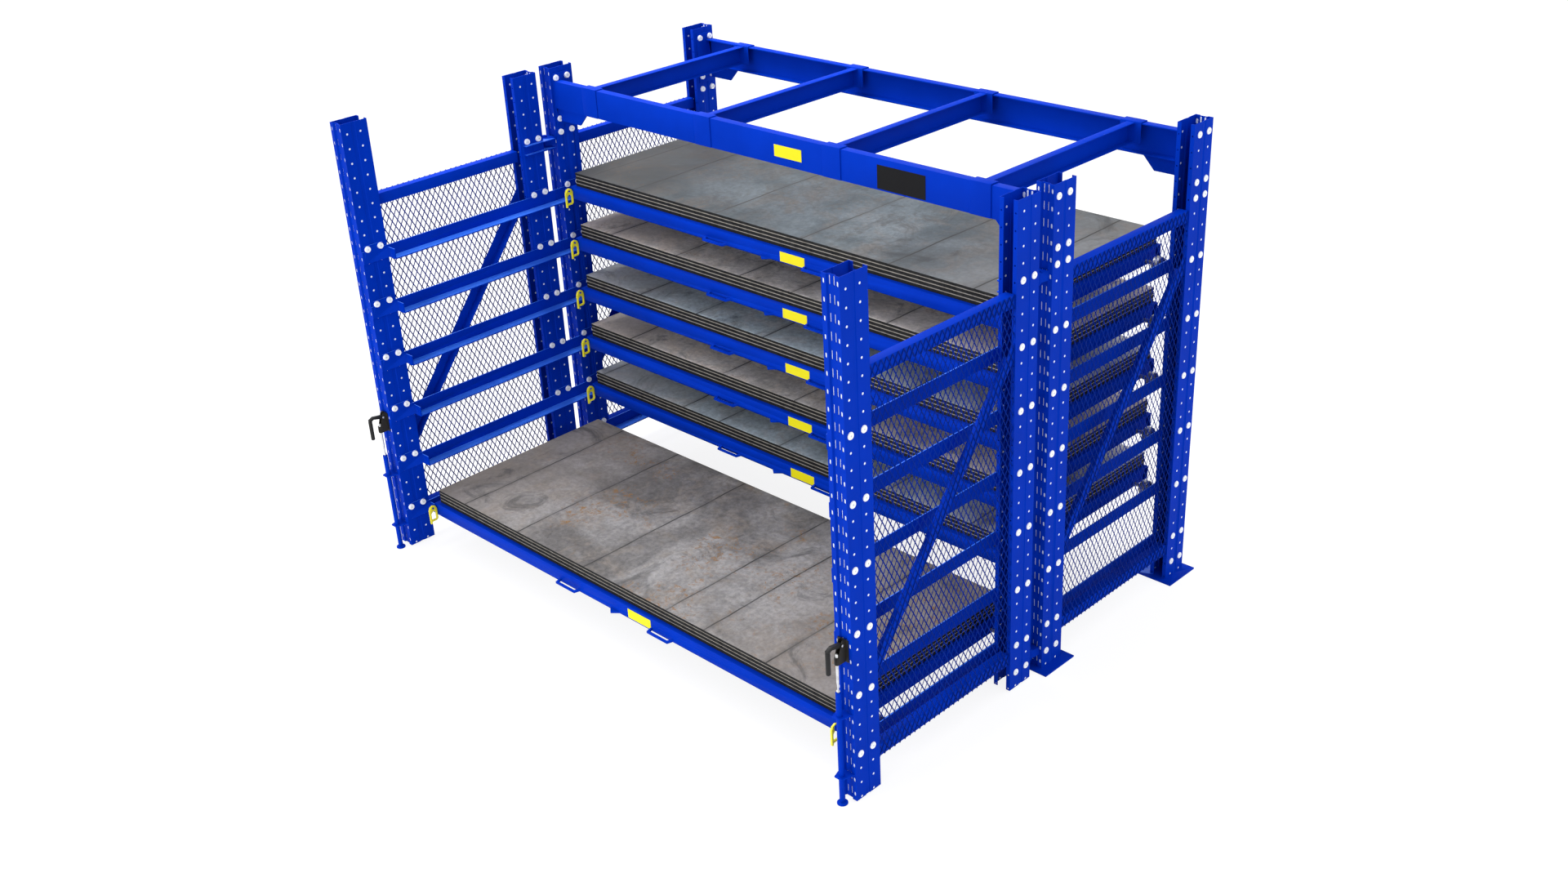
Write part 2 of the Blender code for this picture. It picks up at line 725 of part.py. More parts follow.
def add_cross_tie(name, x, material):
    """A channel between the two top beams, hung on each by a saddle that goes over it and down its face."""
    front_inner = FRAME_FRONT + BEAM_INSET + BEAM_FLANGE
    back_inner = FRAME_BACK - BEAM_INSET - BEAM_FLANGE
    near = front_inner + FIT
    far = back_inner - FIT
    bottom = BEAM_TOP - TIE_HEIGHT
    section = channel((x - TIE_WIDTH / 2, bottom), (x + TIE_WIDTH / 2, BEAM_TOP), TIE_WALL, 1)
    shapes = [plate(section, "Y", near, far)]
    cap_low = BEAM_TOP + FIT
    for beam_inner, inward in ((front_inner, 1), (back_inner, -1)):
        foot = beam_inner + inward * FIT
        face = beam_inner - inward * (BEAM_FLANGE + FIT)
        saddle = [
            (face, BEAM_BOTTOM),
            (face - inward * TIE_CAP_THICKNESS, BEAM_BOTTOM),
            (face - inward * TIE_CAP_THICKNESS, cap_low + TIE_CAP_THICKNESS),
            (foot + inward * TIE_CAP_THICKNESS, cap_low + TIE_CAP_THICKNESS),
            (foot + inward * TIE_CAP_THICKNESS, bottom),
            (foot, bottom),
            (foot, cap_low),
            (face, cap_low),
        ]
        shapes.append(plate(saddle, "X", x - TIE_CAP_WIDTH / 2, x + TIE_CAP_WIDTH / 2))
    add_piece(name, shapes, material)


def add_clamp_body(name, side, material, carrier):
    """The toggle clamp's body: a plate, the plunger's barrel, and two cheeks with the lever's pin."""
    face = DOOR_FRONT - FIT
    plate_front = face - CLAMP_PLATE_THICKNESS
    half_plate = CLAMP_PLATE_WIDTH / 2
    half = BARREL_WIDTH / 2
    centre = (POST_MIDDLE, ROD_Y)
    low = (POST_MIDDLE - half_plate, plate_front, CLAMP_BOTTOM_Z)
    high = (POST_MIDDLE + half_plate, face, CLAMP_TOP_Z)
    barrel = [
        (POST_MIDDLE + half, plate_front + WELD),
        (POST_MIDDLE - half, plate_front + WELD),
        *arc(centre, half, 180, 360, 4),
    ]
    bore = circle(centre, PLUNGER_RADIUS + FIT, SMALL_SIDES)
    barrel_top = CLAMP_BOTTOM_Z + BARREL_HEIGHT
    cheek = [
        (plate_front + WELD, barrel_top - WELD),
        (plate_front + WELD, CLAMP_TOP_Z),
        (DOOR_FRONT - PIVOT_STANDOFF, CLAMP_TOP_Z),
        (DOOR_FRONT - CHEEK_REACH, barrel_top - WELD),
    ]
    shapes = [block(low, high), plate(barrel, "Z", CLAMP_BOTTOM_Z, barrel_top, [bore])]
    for start in (POST_MIDDLE - half, POST_MIDDLE + half - CHEEK_THICKNESS):
        shapes.append(plate(cheek, "X", start, start + CHEEK_THICKNESS))
    pin = (DOOR_FRONT - PIVOT_STANDOFF, PIVOT_Z)
    pin_half = half - CHEEK_THICKNESS + WELD
    shapes.append(rod(pin, "X", PIVOT_RADIUS, POST_MIDDLE - pin_half, POST_MIDDLE + pin_half, SMALL_SIDES))
    add_piece(name, shapes, material, carrier, side)


def add_clamp_lever(name, side, material, carrier):
    """The toggle clamp's lever: an eye on the pin, an arm over the plunger and a hanging grip."""
    pin = (DOOR_FRONT - PIVOT_STANDOFF, PIVOT_Z)
    arm_top = PIVOT_Z + ELBOW_RISE + ARM_HALF_DEPTH
    arm_under = arm_top - 2 * ARM_HALF_DEPTH
    grip_y = DOOR_FRONT - GRIP_STANDOFF
    half = BARREL_WIDTH / 2 - CHEEK_THICKNESS - FIT
    arm = [
        *arc(pin, EYE_RADIUS, -90, 90, 4),
        (DOOR_FRONT - ELBOW_STANDOFF, arm_top),
        (grip_y - ARM_HALF_DEPTH, arm_top - ELBOW_RISE),
        (grip_y - ARM_HALF_DEPTH, PIVOT_Z - WELD),
        (grip_y + ARM_HALF_DEPTH, PIVOT_Z - WELD),
        (DOOR_FRONT - ELBOW_STANDOFF, arm_under),
    ]
    hole = circle(pin, bore_radius(PIVOT_RADIUS, SMALL_SIDES), SMALL_SIDES)
    bottom = PIVOT_Z - GRIP_LENGTH
    edge = GRIP_RADIUS / 3
    grip = [
        (0, bottom),
        (GRIP_RADIUS - edge, bottom),
        (GRIP_RADIUS, bottom + edge),
        (GRIP_RADIUS, PIVOT_Z - edge),
        (GRIP_RADIUS - edge, PIVOT_Z),
        (0, PIVOT_Z),
    ]
    shapes = [
        plate(arm, "X", POST_MIDDLE - half, POST_MIDDLE + half, [hole]),
        turned(grip, (POST_MIDDLE, grip_y), "Z", SMALL_SIDES),
    ]
    add_piece(name, shapes, material, carrier, side)


def add_floor_bolt(name, side, material, carrier):
    """The sliding floor bolt: foot, neck, rod, lock nut and the clamp's plunger."""
    edge = ROD_FOOT_HEIGHT / 3
    profile = [
        (0, 0),
        (ROD_FOOT_RADIUS, 0),
        (ROD_FOOT_RADIUS, ROD_FOOT_HEIGHT - edge),
        (ROD_FOOT_RADIUS - edge, ROD_FOOT_HEIGHT),
        (ROD_NECK_RADIUS, ROD_FOOT_HEIGHT),
        (ROD_NECK_RADIUS, ROD_NECK_Z),
        (ROD_RADIUS, ROD_NECK_Z),
        (ROD_RADIUS, ROD_TOP_Z),
        (ROD_NUT_RADIUS, ROD_TOP_Z),
        (ROD_NUT_RADIUS, ROD_TOP_Z + ROD_NUT_HEIGHT),
        (PLUNGER_RADIUS, ROD_TOP_Z + ROD_NUT_HEIGHT),
        (PLUNGER_RADIUS, PLUNGER_TOP_Z),
        (0, PLUNGER_TOP_Z),
    ]
    add_piece(name, [turned(profile, (POST_MIDDLE, ROD_Y), "Z", SMALL_SIDES)], material, carrier, side)


def axle_places(front):
    """The Y places of a drawer's front and rear axles."""
    sheet_front = front + DRAWER_LIP
    return (sheet_front + AXLE_SETBACK, sheet_front + SHEET_WIDTH - AXLE_SETBACK)


def latch_pin(level, front):
    """Where a drawer's latches turn, as (y, z)."""
    return (front - LATCH_GAP - LATCH_DEPTH / 2, level_z(level) + LATCH_TOP_RISE - LATCH_PIN_INSET)


def drawer_fittings(front, bottom):
    """The two pull handles and the towing tooth under a drawer's front edge."""
    root = front + WELD
    low = bottom + HANDLE_RISE
    reach = front - HANDLE_REACH
    shapes = []
    for x in (-HANDLE_SPACING / 2, HANDLE_SPACING / 2):
        outer = HANDLE_WIDTH / 2
        inner = outer - HANDLE_BAR
        staple = [
            (x - outer, root),
            (x - outer + HANDLE_BAR, reach),
            (x + outer - HANDLE_BAR, reach),
            (x + outer, root),
            (x + inner, root),
            (x + inner - HANDLE_BAR, reach + HANDLE_BAR),
            (x - inner + HANDLE_BAR, reach + HANDLE_BAR),
            (x - inner, root),
        ]
        shapes.append(plate(staple, "Z", low, low + HANDLE_BAR))
    tooth = [(-TOOTH_WIDTH / 2, root), (0, front - TOOTH_REACH), (TOOTH_WIDTH / 2, root)]
    shapes.append(plate(tooth, "Z", bottom, bottom + TOOTH_THICKNESS))
    return shapes


def latch_mounts(level, front, bottom, top):
    """The end plate at a drawer's front corner, with the ear and pin that carry the latch."""
    half = DRAWER_HALF_WIDTH
    root = half - DRAWER_WALL
    pin = latch_pin(level, front)
    ear_low = (root, pin[0] - LATCH_EAR, pin[1] - LATCH_EAR)
    return [
        block((root, front, bottom), (half, front + DRAWER_FLANGE + WELD, top)),
        block(ear_low, (half, front + WELD, pin[1] + LATCH_EAR)),
        rod(pin, "X", LATCH_PIN_RADIUS, LATCH_INNER - LATCH_PIN_END, root + WELD, HEX_SIDES),
    ]


def add_drawer_frame(name, level, front, material, carrier):
    """A drawer's welded frame of channels and ribs; front is the Y of its front face."""
    top = level_z(level) + DRAWER_TOP_RISE
    bottom = top - DRAWER_HEIGHT
    back = front + DRAWER_LIP + SHEET_WIDTH + DRAWER_WALL
    half = DRAWER_HALF_WIDTH
    front_section = channel((front, bottom), (front + DRAWER_FLANGE, top), DRAWER_WALL, 1)
    back_section = channel((back - DRAWER_FLANGE, bottom), (back, top), DRAWER_WALL, -1)
    near = front + DRAWER_FLANGE - WELD
    far = back - DRAWER_FLANGE + WELD
    side_section = channel((half - DRAWER_FLANGE, bottom), (half, top), DRAWER_WALL, -1)
    shapes = [plate(front_section, "X", -half, half), plate(back_section, "X", -half, half)]
    shapes += both_sides([plate(side_section, "Y", near, far), *latch_mounts(level, front, bottom, top)])
    step = 2 * (half - DRAWER_FLANGE) / (RIB_COUNT + 1)
    for index in range(RIB_COUNT):
        x = (index - (RIB_COUNT - 1) / 2) * step
        shapes.append(block((x - RIB_WIDTH / 2, near, top - RIB_HEIGHT), (x + RIB_WIDTH / 2, far, top)))
    shapes += drawer_fittings(front, bottom)
    hole = bore_radius(AXLE_RADIUS, HEX_SIDES)
    start = half - DRAWER_WALL - OVERRUN
    centres = [(y, level_z(level) + AXLE_RISE) for y in axle_places(front)]
    cuts = [rod(centre, "X", hole, start, half + OVERRUN, HEX_SIDES) for centre in centres]
    add_piece(name, shapes, material, carrier, cuts=both_sides(cuts))


def add_axle(name, level, y, material, carrier):
    """A drawer's axle with a wheel at each end, which turn together and keep the wide drawer square."""
    right = [
        (AXLE_RADIUS, WHEEL_INNER),
        (WHEEL_RADIUS, WHEEL_INNER),
        (WHEEL_RADIUS, WHEEL_OUTER),
        (0, WHEEL_OUTER),
    ]
    left = [(radius, -x) for radius, x in reversed(right)]
    centre = (y, level_z(level) + AXLE_RISE)
    add_piece(name, [turned(left + right, centre, "X", ROUND_SIDES)], material, carrier)


def add_latch(name, side, level, front, material, carrier):
    """The hand latch that hangs before a drawer's front corner: a loop on a bar with a free lower end."""
    pin = latch_pin(level, front)
    top = pin[1] + LATCH_PIN_INSET
    tail = top - LATCH_LENGTH
    bottom = tail + LATCH_TAIL
    outer = LATCH_DEPTH / 2
    slot_half = outer - LATCH_BAR
    slot_top = pin[1] - bore_radius(LATCH_PIN_RADIUS, HEX_SIDES) - LATCH_BAR
    outline = [
        (pin[0] - outer, tail),
        (pin[0] - outer + LATCH_BAR, tail),
        (pin[0] - outer + LATCH_BAR, bottom),
        (pin[0] + outer - LATCH_BAR, bottom),
        (pin[0] + outer, bottom + LATCH_BAR),
        *arc((pin[0], top - outer), outer, 0, 180, 4),
    ]
    slot = [
        (pin[0] - slot_half, bottom + LATCH_BAR),
        (pin[0] + slot_half, bottom + LATCH_BAR),
        *arc((pin[0], slot_top - slot_half), slot_half, 0, 180, 2),
    ]
    hole = circle(pin, bore_radius(LATCH_PIN_RADIUS, HEX_SIDES), HEX_SIDES)
    shapes = [plate(outline, "X", LATCH_INNER, LATCH_OUTER, [slot, hole])]
    add_piece(name, shapes, material, carrier, side)


def add_sheets(name, level, front, material, carrier):
    """The sheets of steel stacked in a drawer, with a fine seam between each two."""
    low = level_z(level) + DRAWER_TOP_RISE + FIT
    near = front + DRAWER_LIP
    far = near + SHEET_WIDTH
    half = SHEET_LENGTH / 2
    step = (SHEET_STACK_HEIGHT - FIT) / SHEET_COUNT
    seam = SHEET_SEAM_DEPTH
    shapes = []
    for index in range(SHEET_COUNT):
        bottom = low + index * step
        top = bottom + step - SHEET_SEAM_HEIGHT
        shapes.append(block((-half, near, bottom), (half, far, top)))
        if index:
            join_low = (seam - half, near + seam, bottom - SHEET_SEAM_HEIGHT - WELD)
            shapes.append(block(join_low, (half - seam, far - seam, bottom + WELD)))
    add_piece(name, shapes, material, carrier)


def build_fixed_frame(blue):
    columns = bolt_columns(FRAME_FRONT, FRAME_BACK)
    bottom = BASE_THICKNESS - WELD
    for side, word in ((-1, "left"), (1, "right")):
        shapes = [post(FRAME_FRONT, 1, bottom), base_plate(FRAME_FRONT, 1)]
        joint = PIN_Y + RAIL_JOINT / 2
        shapes += rails(joint, FRAME_BACK, joint, columns, columns[0])
        shapes += post_bolts(columns[:2]) + hinge_blocks()
        add_piece(f"front_upright_{word}", shapes, blue, side=side)
        shapes = [post(FRAME_BACK, -1, bottom), base_plate(FRAME_BACK, -1), *post_bolts(columns[2:])]
        add_piece(f"rear_upright_{word}", shapes, blue, side=side)
        add_side_panel(f"side_panel_{word}", side, FRAME_FRONT, FRAME_BACK, blue)
    add_top_beam("top_beam_front", FRAME_FRONT, 1, blue)
    add_top_beam("top_beam_rear", FRAME_BACK, -1, blue)
    for index in range(TIE_COUNT):
        x = (index - (TIE_COUNT - 1) / 2) * TIE_PITCH
        add_cross_tie(f"cross_tie_{index + 1}", x, blue)


def build_door(side, word, blue, black):
    door = pivot(f"door_{word}_hinge", (side * POST_MIDDLE, PIN_Y, 0))
    columns = bolt_columns(DOOR_FRONT, DOOR_BACK)
    shapes = [post(DOOR_BACK, -1, DOOR_LIFT)]
    shapes += rails(DOOR_FRONT, PIN_Y - RAIL_JOINT / 2, DOOR_FRONT + POST_DEPTH, columns, columns[3])
    shapes += post_bolts(columns[2:]) + hinge_lugs()
    add_piece(f"door_inner_upright_{word}", shapes, blue, door, side)
    shapes = [post(DOOR_FRONT, 1, DOOR_LIFT), *rod_guides()]
    add_piece(f"door_outer_upright_{word}", shapes, blue, door, side)
    add_side_panel(f"door_panel_{word}", side, DOOR_FRONT, DOOR_BACK, blue, door)
    add_clamp_body(f"clamp_body_{word}", side, black, door)
    lever = pivot(f"clamp_{word}_pivot", (side * POST_MIDDLE, DOOR_FRONT - PIVOT_STANDOFF, PIVOT_Z), door)
    add_clamp_lever(f"clamp_lever_{word}", side, black, lever)
    slide = pivot(f"floor_bolt_{word}_slide", (side * POST_MIDDLE, ROD_Y, 0), door)
    add_floor_bolt(f"floor_bolt_{word}", side, blue, slide)


def build_drawer(level, rolled_out, blue, steel, yellow, zinc):
    front = FRAME_FRONT + SHEET_SETBACK - DRAWER_LIP
    if rolled_out:
        front -= DRAWER_TRAVEL
    drawer = pivot(f"drawer_{level}_slide", (0, front, level_z(level)))
    add_drawer_frame(f"drawer_frame_{level}", level, front, blue, drawer)
    add_sheets(f"sheet_stack_{level}", level, front, steel, drawer)
    for side, word in ((-1, "left"), (1, "right")):
        latch = pivot(f"latch_{word}_{level}_pivot", (side * LATCH_INNER, *latch_pin(level, front)), drawer)
        add_latch(f"latch_{word}_{level}", side, level, front, yellow, latch)
    for word, y in zip(("front", "rear"), axle_places(front)):
        axle = pivot(f"axle_{word}_{level}_centre", (0, y, level_z(level) + AXLE_RISE), drawer)
        add_axle(f"axle_{word}_{level}", level, y, zinc, axle)


def main():
    clear_scene()
    blue = paint("blue_paint", (0.0, 0.035, 0.46), 0.42, 0.0)
    zinc = paint("zinc_plate", (0.74, 0.75, 0.77), 0.35, 1.0)
    steel = paint("sheet_steel", (0.26, 0.26, 0.25), 0.55, 0.8)
    yellow = paint("yellow_paint", (0.85, 0.74, 0.02), 0.40, 0.0)
    black = paint("black_coat", (0.015, 0.015, 0.014), 0.45, 0.0)
    build_fixed_frame(blue)
    for side, word in ((-1, "left"), (1, "right")):
        build_door(side, word, blue, black)
    for level in range(1, LEVELS + 1):
        build_drawer(level, level == LEVELS, blue, steel, yellow, zinc)


main()
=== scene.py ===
"""The looks of the sheet rack: punched uprights, mesh, bolts, weathered sheets, paint and light."""
import math

import bmesh
import bpy
from mathutils import Matrix, Vector


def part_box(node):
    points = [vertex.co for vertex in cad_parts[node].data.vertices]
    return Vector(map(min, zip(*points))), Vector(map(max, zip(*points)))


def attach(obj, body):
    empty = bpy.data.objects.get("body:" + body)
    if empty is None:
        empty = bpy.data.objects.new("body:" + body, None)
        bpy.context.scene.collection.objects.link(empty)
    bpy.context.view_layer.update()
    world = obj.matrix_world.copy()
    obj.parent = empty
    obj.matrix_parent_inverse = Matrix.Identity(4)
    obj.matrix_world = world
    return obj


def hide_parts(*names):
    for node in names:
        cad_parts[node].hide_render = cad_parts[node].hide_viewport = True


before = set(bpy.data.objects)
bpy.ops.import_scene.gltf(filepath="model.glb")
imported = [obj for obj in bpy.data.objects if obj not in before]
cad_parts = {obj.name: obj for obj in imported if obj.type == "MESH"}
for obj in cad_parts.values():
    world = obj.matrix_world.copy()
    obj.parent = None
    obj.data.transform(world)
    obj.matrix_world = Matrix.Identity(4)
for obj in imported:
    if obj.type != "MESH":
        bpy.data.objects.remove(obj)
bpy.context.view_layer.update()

# Where the sides stand in the model: the uprights' side faces, from the rack's middle, and their slotted faces
INNER_SIDE = 1.6495
OUTER_SIDE = 1.7435
MIDDLE = (INNER_SIDE + OUTER_SIDE) / 2
SIDE_LENGTH = 1.228
DOOR_SETBACK = 0.095
FRAME_FRONT = 0.08275
FRAME_BACK = FRAME_FRONT + SIDE_LENGTH
DOOR_BACK = FRAME_FRONT - DOOR_SETBACK
DOOR_FRONT = DOOR_BACK - SIDE_LENGTH

# Uprights: (name, body, its slotted face, which way along Y its inside lies); {} stands for the side's word
UPRIGHTS = (
    ("front_upright_{}", "rack_frame", FRAME_FRONT, 1),
    ("rear_upright_{}", "rack_frame", FRAME_BACK, -1),
    ("door_inner_upright_{}", "door_{}", DOOR_BACK, -1),
    ("door_outer_upright_{}", "door_{}", DOOR_FRONT, 1),
)
UPRIGHT_DEPTH = 0.155
SHEET_WALL = 0.003
WEB_RECESS = 0.008

# The rails' track faces that get a painted highlight, from the rack's middle, and the angle in degrees above
# which bead edges are sharp
TRACK_EDGES = (1.5845, 1.6500)
BEAD_SHARP = 12

# Punched holes and slots: a slot has its offset from the middle, width, height and rise above the row's holes
HOLE_PITCH = 0.0762
HOLE_FIRST = 0.0195
HOLE_ROWS = 32
SIDE_COLUMNS = (0.033, 0.1105)
SIDE_HOLE = 0.0058
SIDE_HOLE_SIDES = 14
OUTER_SLOT = (0.036, 0.010, 0.022, 0.025)
INNER_SLOT = (0.0115, 0.0060, 0.040, 0.031)
SLOT_END_SIDES = 12
LIP_COLUMN = 0.037
LIP_HOLE = 0.0042
LIP_HOLE_SIDES = 10

# How far the punches reach past the walls that they go through
INNER_REACH = 0.00015
OUTER_REACH = 0.001
FACE_REACH = 0.0004
SLOT_PUNCH_DEPTH = WEB_RECESS + 2 * SHEET_WALL
LIP_PUNCH_DEPTH = 0.008

# Plugs behind the holes and slots
PLUG_RECESS = 0.0006
PLUG_PLAY = 0.0001
SLOT_PLUG_LAP = 0.001
SLOT_PLUG_THICKNESS = 0.001

# Rows of bolts, counted in holes from the floor, and the thickness of what the inner ones sit on
LEVELS = 6
LEVEL_ROWS = (23, 19, 15, 11, 7, 3)
UPRIGHT_BOLT_ROWS = (1, 27)
BEAM_BOLT_ROWS = (28, 31)
RAIL_SEAT = 0.0053
CONNECTOR_SEAT = 0.0063

# Bolts
HEAD_RADIUS = 0.0157
HEAD_HEIGHT = 0.0106
LOW_HEAD_HEIGHT = 0.0050
HEAD_SIDES = 18
STEM_SHARE = 0.8
CROWN_SHARE = 0.94
# A grey hexagonal spot on each head's top: a painted reflection of the grey that the head's top face shows
REFLECTION_SPOT_RADIUS = 0.0042
REFLECTION_SPOT_DEPTH = 0.0008
REFLECTION_SPOT_SIDES = 6
WASHER_RADIUS = 0.0168
WASHER_THICKNESS = 0.0022

# Expanded mesh, tie bars and brace of a side
DIAMOND_WIDTH = 0.0336
DIAMOND_HEIGHT = 0.0620
STRAND_WIDTH = 0.0068
STRAND_THICKNESS = 0.0020
STRAND_TILT = 18
BAR_WALL = 0.003
BAR_WIDTH = 0.050
BAR_HEIGHT = 0.060
MESH_THICKNESS = 0.004
BRACE_WIDTH = 0.055
BRACE_THICKNESS = 0.005
BRACE_TOP = 1.720
BRACE_BOTTOM = 0.580

# Sheets of steel and the strips between them
SHEETS = 4
STRIP_THICKNESS = 0.0062
STRIP_RECESS = 0.0025
TOP_BAND = 0.002

# Blank plates: left, right, bottom and top of the beam's two; the drawers' have their place from the rail bolts
PLATE_THICKNESS = 0.0012
BEAM_FACE = FRAME_FRONT + 0.018
BEAM_PLATE_YELLOW = (0.064, 0.248, 2.253, 2.313)
BEAM_PLATE_BLACK = (0.733, 1.025, 2.220, 2.335)
DRAWER_PLATE_LEFT = 0.104
DRAWER_PLATE_RIGHT = 0.274
DRAWER_PLATE_HEIGHT = 0.052
DRAWER_PLATE_DROP = 0.044
DRAWER_LIP = 0.025

# Wheels and axles: radii, and lengths along the axle
WHEEL_WIDTH = 0.034
AXLE_RADIUS = 0.010
AXLE_END_RADIUS = 0.008
HUB_RADIUS = 0.017
HUB_LENGTH = 0.012
RIM_DEPTH = 0.007
RIM_FOOT = 0.009
WEB_DIP = 0.004
TREAD_CHAMFER = 0.002

# Floor bolts: (radius, height over the foot) of the lower end, then the rod's top, the ball and the plunger,
# with heights over the rod
FOOT_PROFILE = ((0, 0), (0.022, 0), (0.025, 0.002), (0.025, 0.008), (0.021, 0.012), (0.008, 0.013),
                (0.008, 0.021), (0.012, 0.022), (0.013, 0.024))
ROD_SETBACK = 0.042
ROD_LENGTH = 0.585
ROD_RADIUS = 0.013
ROD_CHAMFER = 0.001
BALL_RADIUS = 0.0088
BALL_RISE = 0.0068
BALL_STEPS = 6
BALL_START = -50
BALL_SWEEP = 110
BALL_FOOT_RADIUS = 0.006
PLUNGER_PROFILE = ((0.0042, 0.019), (0.0042, 0.036), (0.0066, 0.050))
PLUNGER_TOP = 0.0068
PLUNGER_END = 0.0055
PLUNGER_CHAMFER = 0.002

# The clamp levers' pins: their line, where their heads start and end from the middle, and the heads' radii
PIN_SETBACK = 0.020
PIN_HEIGHT = 0.812
PIN_HEAD = (0.0128, 0.0155)
PIN_RADIUS = 0.006
PIN_END_RADIUS = 0.0045
PIN_CHAMFER = 0.0008

# Meshes: how near points are merged, how flat a face is and up to what angle edges are smooth, in degrees, and
# how far up a face's normal has to point; and how many sides a turned piece has
MERGE_DISTANCE = 1e-5
FLAT_ANGLE = 0.5
LEVEL_FACE = 0.9
HALF_UP = 0.5
SMOOTH_BELOW = 35
TURNED_SIDES = 24

# Rounding of edges that are sharper than an angle in degrees
ROUNDED_ABOVE = 30
BAR_EDGE = 0.0025
BEAM_EDGE = 0.002
LATCH_EDGE = 0.0022
CLAMP_EDGE = 0.0012
SHEET_EDGE = 0.0006
PLATE_EDGE = 0.0004

# Light: each lamp's name, place, target, size and watts
LAMPS = (
    ("key_lamp", (-1.2, -8.5, 3.2), (0, 0, 1.2), 3.0, 205),
    ("fill_lamp", (7.0, -1.0, 4.0), (0, 0, 1.0), 4.0, 20),
    ("top_lamp", (-3.0, 0.6, 6.4), (0, 0, 1.0), 3.5, 390),
)
WORLD_COLOUR = (0.97, 0.98, 1.0, 1)
WORLD_LIGHT = 1.12
WHITE = (1, 1, 1, 1)
FLOOR_COLOUR = (0.93, 0.93, 0.94, 1)
FLOOR_ROUGHNESS = 0.9
FLOOR_SIZE = 40.0
FLOOR_DROP = 0.0005
FLOOR_GLOW = 1.1
FLOOR_GLOW_SHARE = 0.78

# The camera, solved from the rack's own corners: angles in radians, focal length in pixels of the photograph
CAMERA_PLACE = (5.67325, -5.37698, 4.66260)
CAMERA_YAW, CAMERA_PITCH, CAMERA_ROLL = 0.80074, -0.46856, -0.05296
FOCAL_PIXELS = 2030.43
PHOTO_WIDTH = 1920
SENSOR_WIDTH = 36
CLIP_END = 200

# Coats, and the colours that the textures mix in
COAT_ROUGHNESS = 0.2
SCUFF_COLOUR = (0.25, 0.32, 0.45, 1)
STAIN_COLOUR = (0.040, 0.040, 0.042, 1)
RUST_COLOUR = (0.24, 0.125, 0.045, 1)
SOIL_COLOUR = (0.060, 0.058, 0.056, 1)
SEAM_COLOUR = (0.030, 0.028, 0.027, 1)
TEXTURE_OUTPUTS = {"Colour": "NodeSocketColor", "Roughness": "NodeSocketFloat", "Height": "NodeSocketFloat"}


def row_z(row):
    """Height of a row of holes."""
    return HOLE_FIRST + row * HOLE_PITCH


def level_z(level):
    """Height of a drawer's rail bolts; level 1 is the highest."""
    return row_z(LEVEL_ROWS[level - 1])


# Shader node groups

def shader_group(name, inputs, outputs):
    """A node group for materials, with its input and output nodes."""
    tree = bpy.data.node_groups.new(name, "ShaderNodeTree")
    for label, value in inputs.items():
        kind = "NodeSocketColor" if isinstance(value, tuple) else "NodeSocketFloat"
        socket = tree.interface.new_socket(label, in_out="INPUT", socket_type=kind)
        socket.default_value = value
    for label, kind in outputs.items():
        tree.interface.new_socket(label, in_out="OUTPUT", socket_type=kind)
    return tree, tree.nodes.new("NodeGroupInput"), tree.nodes.new("NodeGroupOutput")


def put(tree, kind, settings=None, **inputs):
    """A node with its settings. An input is a value or the socket that feeds it: its name has _ for a space,
    and n with a number means the input at that place."""
    made = tree.nodes.new(kind)
    for key, value in (settings or {}).items():
        setattr(made, key, value)
    for key, value in inputs.items():
        numbered = key[0] == "n" and key[1:].isdigit()
        socket = made.inputs[int(key[1:]) if numbered else key.replace("_", " ")]
        if isinstance(value, bpy.types.NodeSocket):
            tree.links.new(value, socket)
        else:
            socket.default_value = value
    return made


def noise(tree, where, scale, detail=4.0, roughness=0.55, distortion=0.0):
    return put(tree, "ShaderNodeTexNoise", Vector=where, Scale=scale, Detail=detail, Roughness=roughness,
               Distortion=distortion).outputs["Fac"]


def stretch(tree, value, low, high, out_low=0.0, out_high=1.0):
    """A value's range from low to high, spread smoothly from out_low to out_high."""
    return put(tree, "ShaderNodeMapRange", {"interpolation_type": "SMOOTHSTEP"}, Value=value, From_Min=low,
               From_Max=high, To_Min=out_low, To_Max=out_high).outputs["Result"]


def mixed(tree, amount, first, second, blend="MIX"):
    """A colour between two others."""
    return put(tree, "ShaderNodeMix", {"data_type": "RGBA", "blend_type": blend}, n0=amount, n6=first,
               n7=second).outputs[2]


def sums(tree, operation, first, second=0.0):
    return put(tree, "ShaderNodeMath", {"operation": operation}, n0=first, n1=second).outputs[0]


def times(tree, first, second):
    return sums(tree, "MULTIPLY", first, second)


def plus(tree, first, second):
    return sums(tree, "ADD", first, second)


def shaded(tree, colour, brightness):
    """A colour made darker or lighter."""
    grey = put(tree, "ShaderNodeCombineColor", n0=brightness, n1=brightness, n2=brightness).outputs[0]
    return mixed(tree, 1.0, colour, grey, "MULTIPLY")


def make_paint_texture():
    """Orange peel, faint cloudiness and small scuffs of a sprayed or baked coat."""
    tree, given, out = shader_group(
        "coat_texture",
        {"Colour": (0, 0, 1, 1), "Deep colour": (0, 0, 0.5, 1), "Roughness": 0.35, "Scuffs": 0.3},
        TEXTURE_OUTPUTS)
    where = put(tree, "ShaderNodeTexCoord").outputs["Object"]
    cloud = stretch(tree, noise(tree, where, 3.5, 3), 0.3, 0.7)
    scratch = stretch(tree, noise(tree, where, 60, 8, 0.7, 1.5), 0.63, 0.78)
    scuff = times(tree, scratch, given.outputs["Scuffs"])
    colour = mixed(tree, cloud, given.outputs["Deep colour"], given.outputs["Colour"])
    rough = plus(tree, given.outputs["Roughness"], times(tree, scuff, 0.35))
    varied = plus(tree, rough, times(tree, sums(tree, "SUBTRACT", cloud, 0.5), 0.08))
    tree.links.new(mixed(tree, times(tree, scuff, 0.5), colour, SCUFF_COLOUR), out.inputs["Colour"])
    tree.links.new(varied, out.inputs["Roughness"])
    tree.links.new(noise(tree, where, 420, 2), out.inputs["Height"])
    return tree


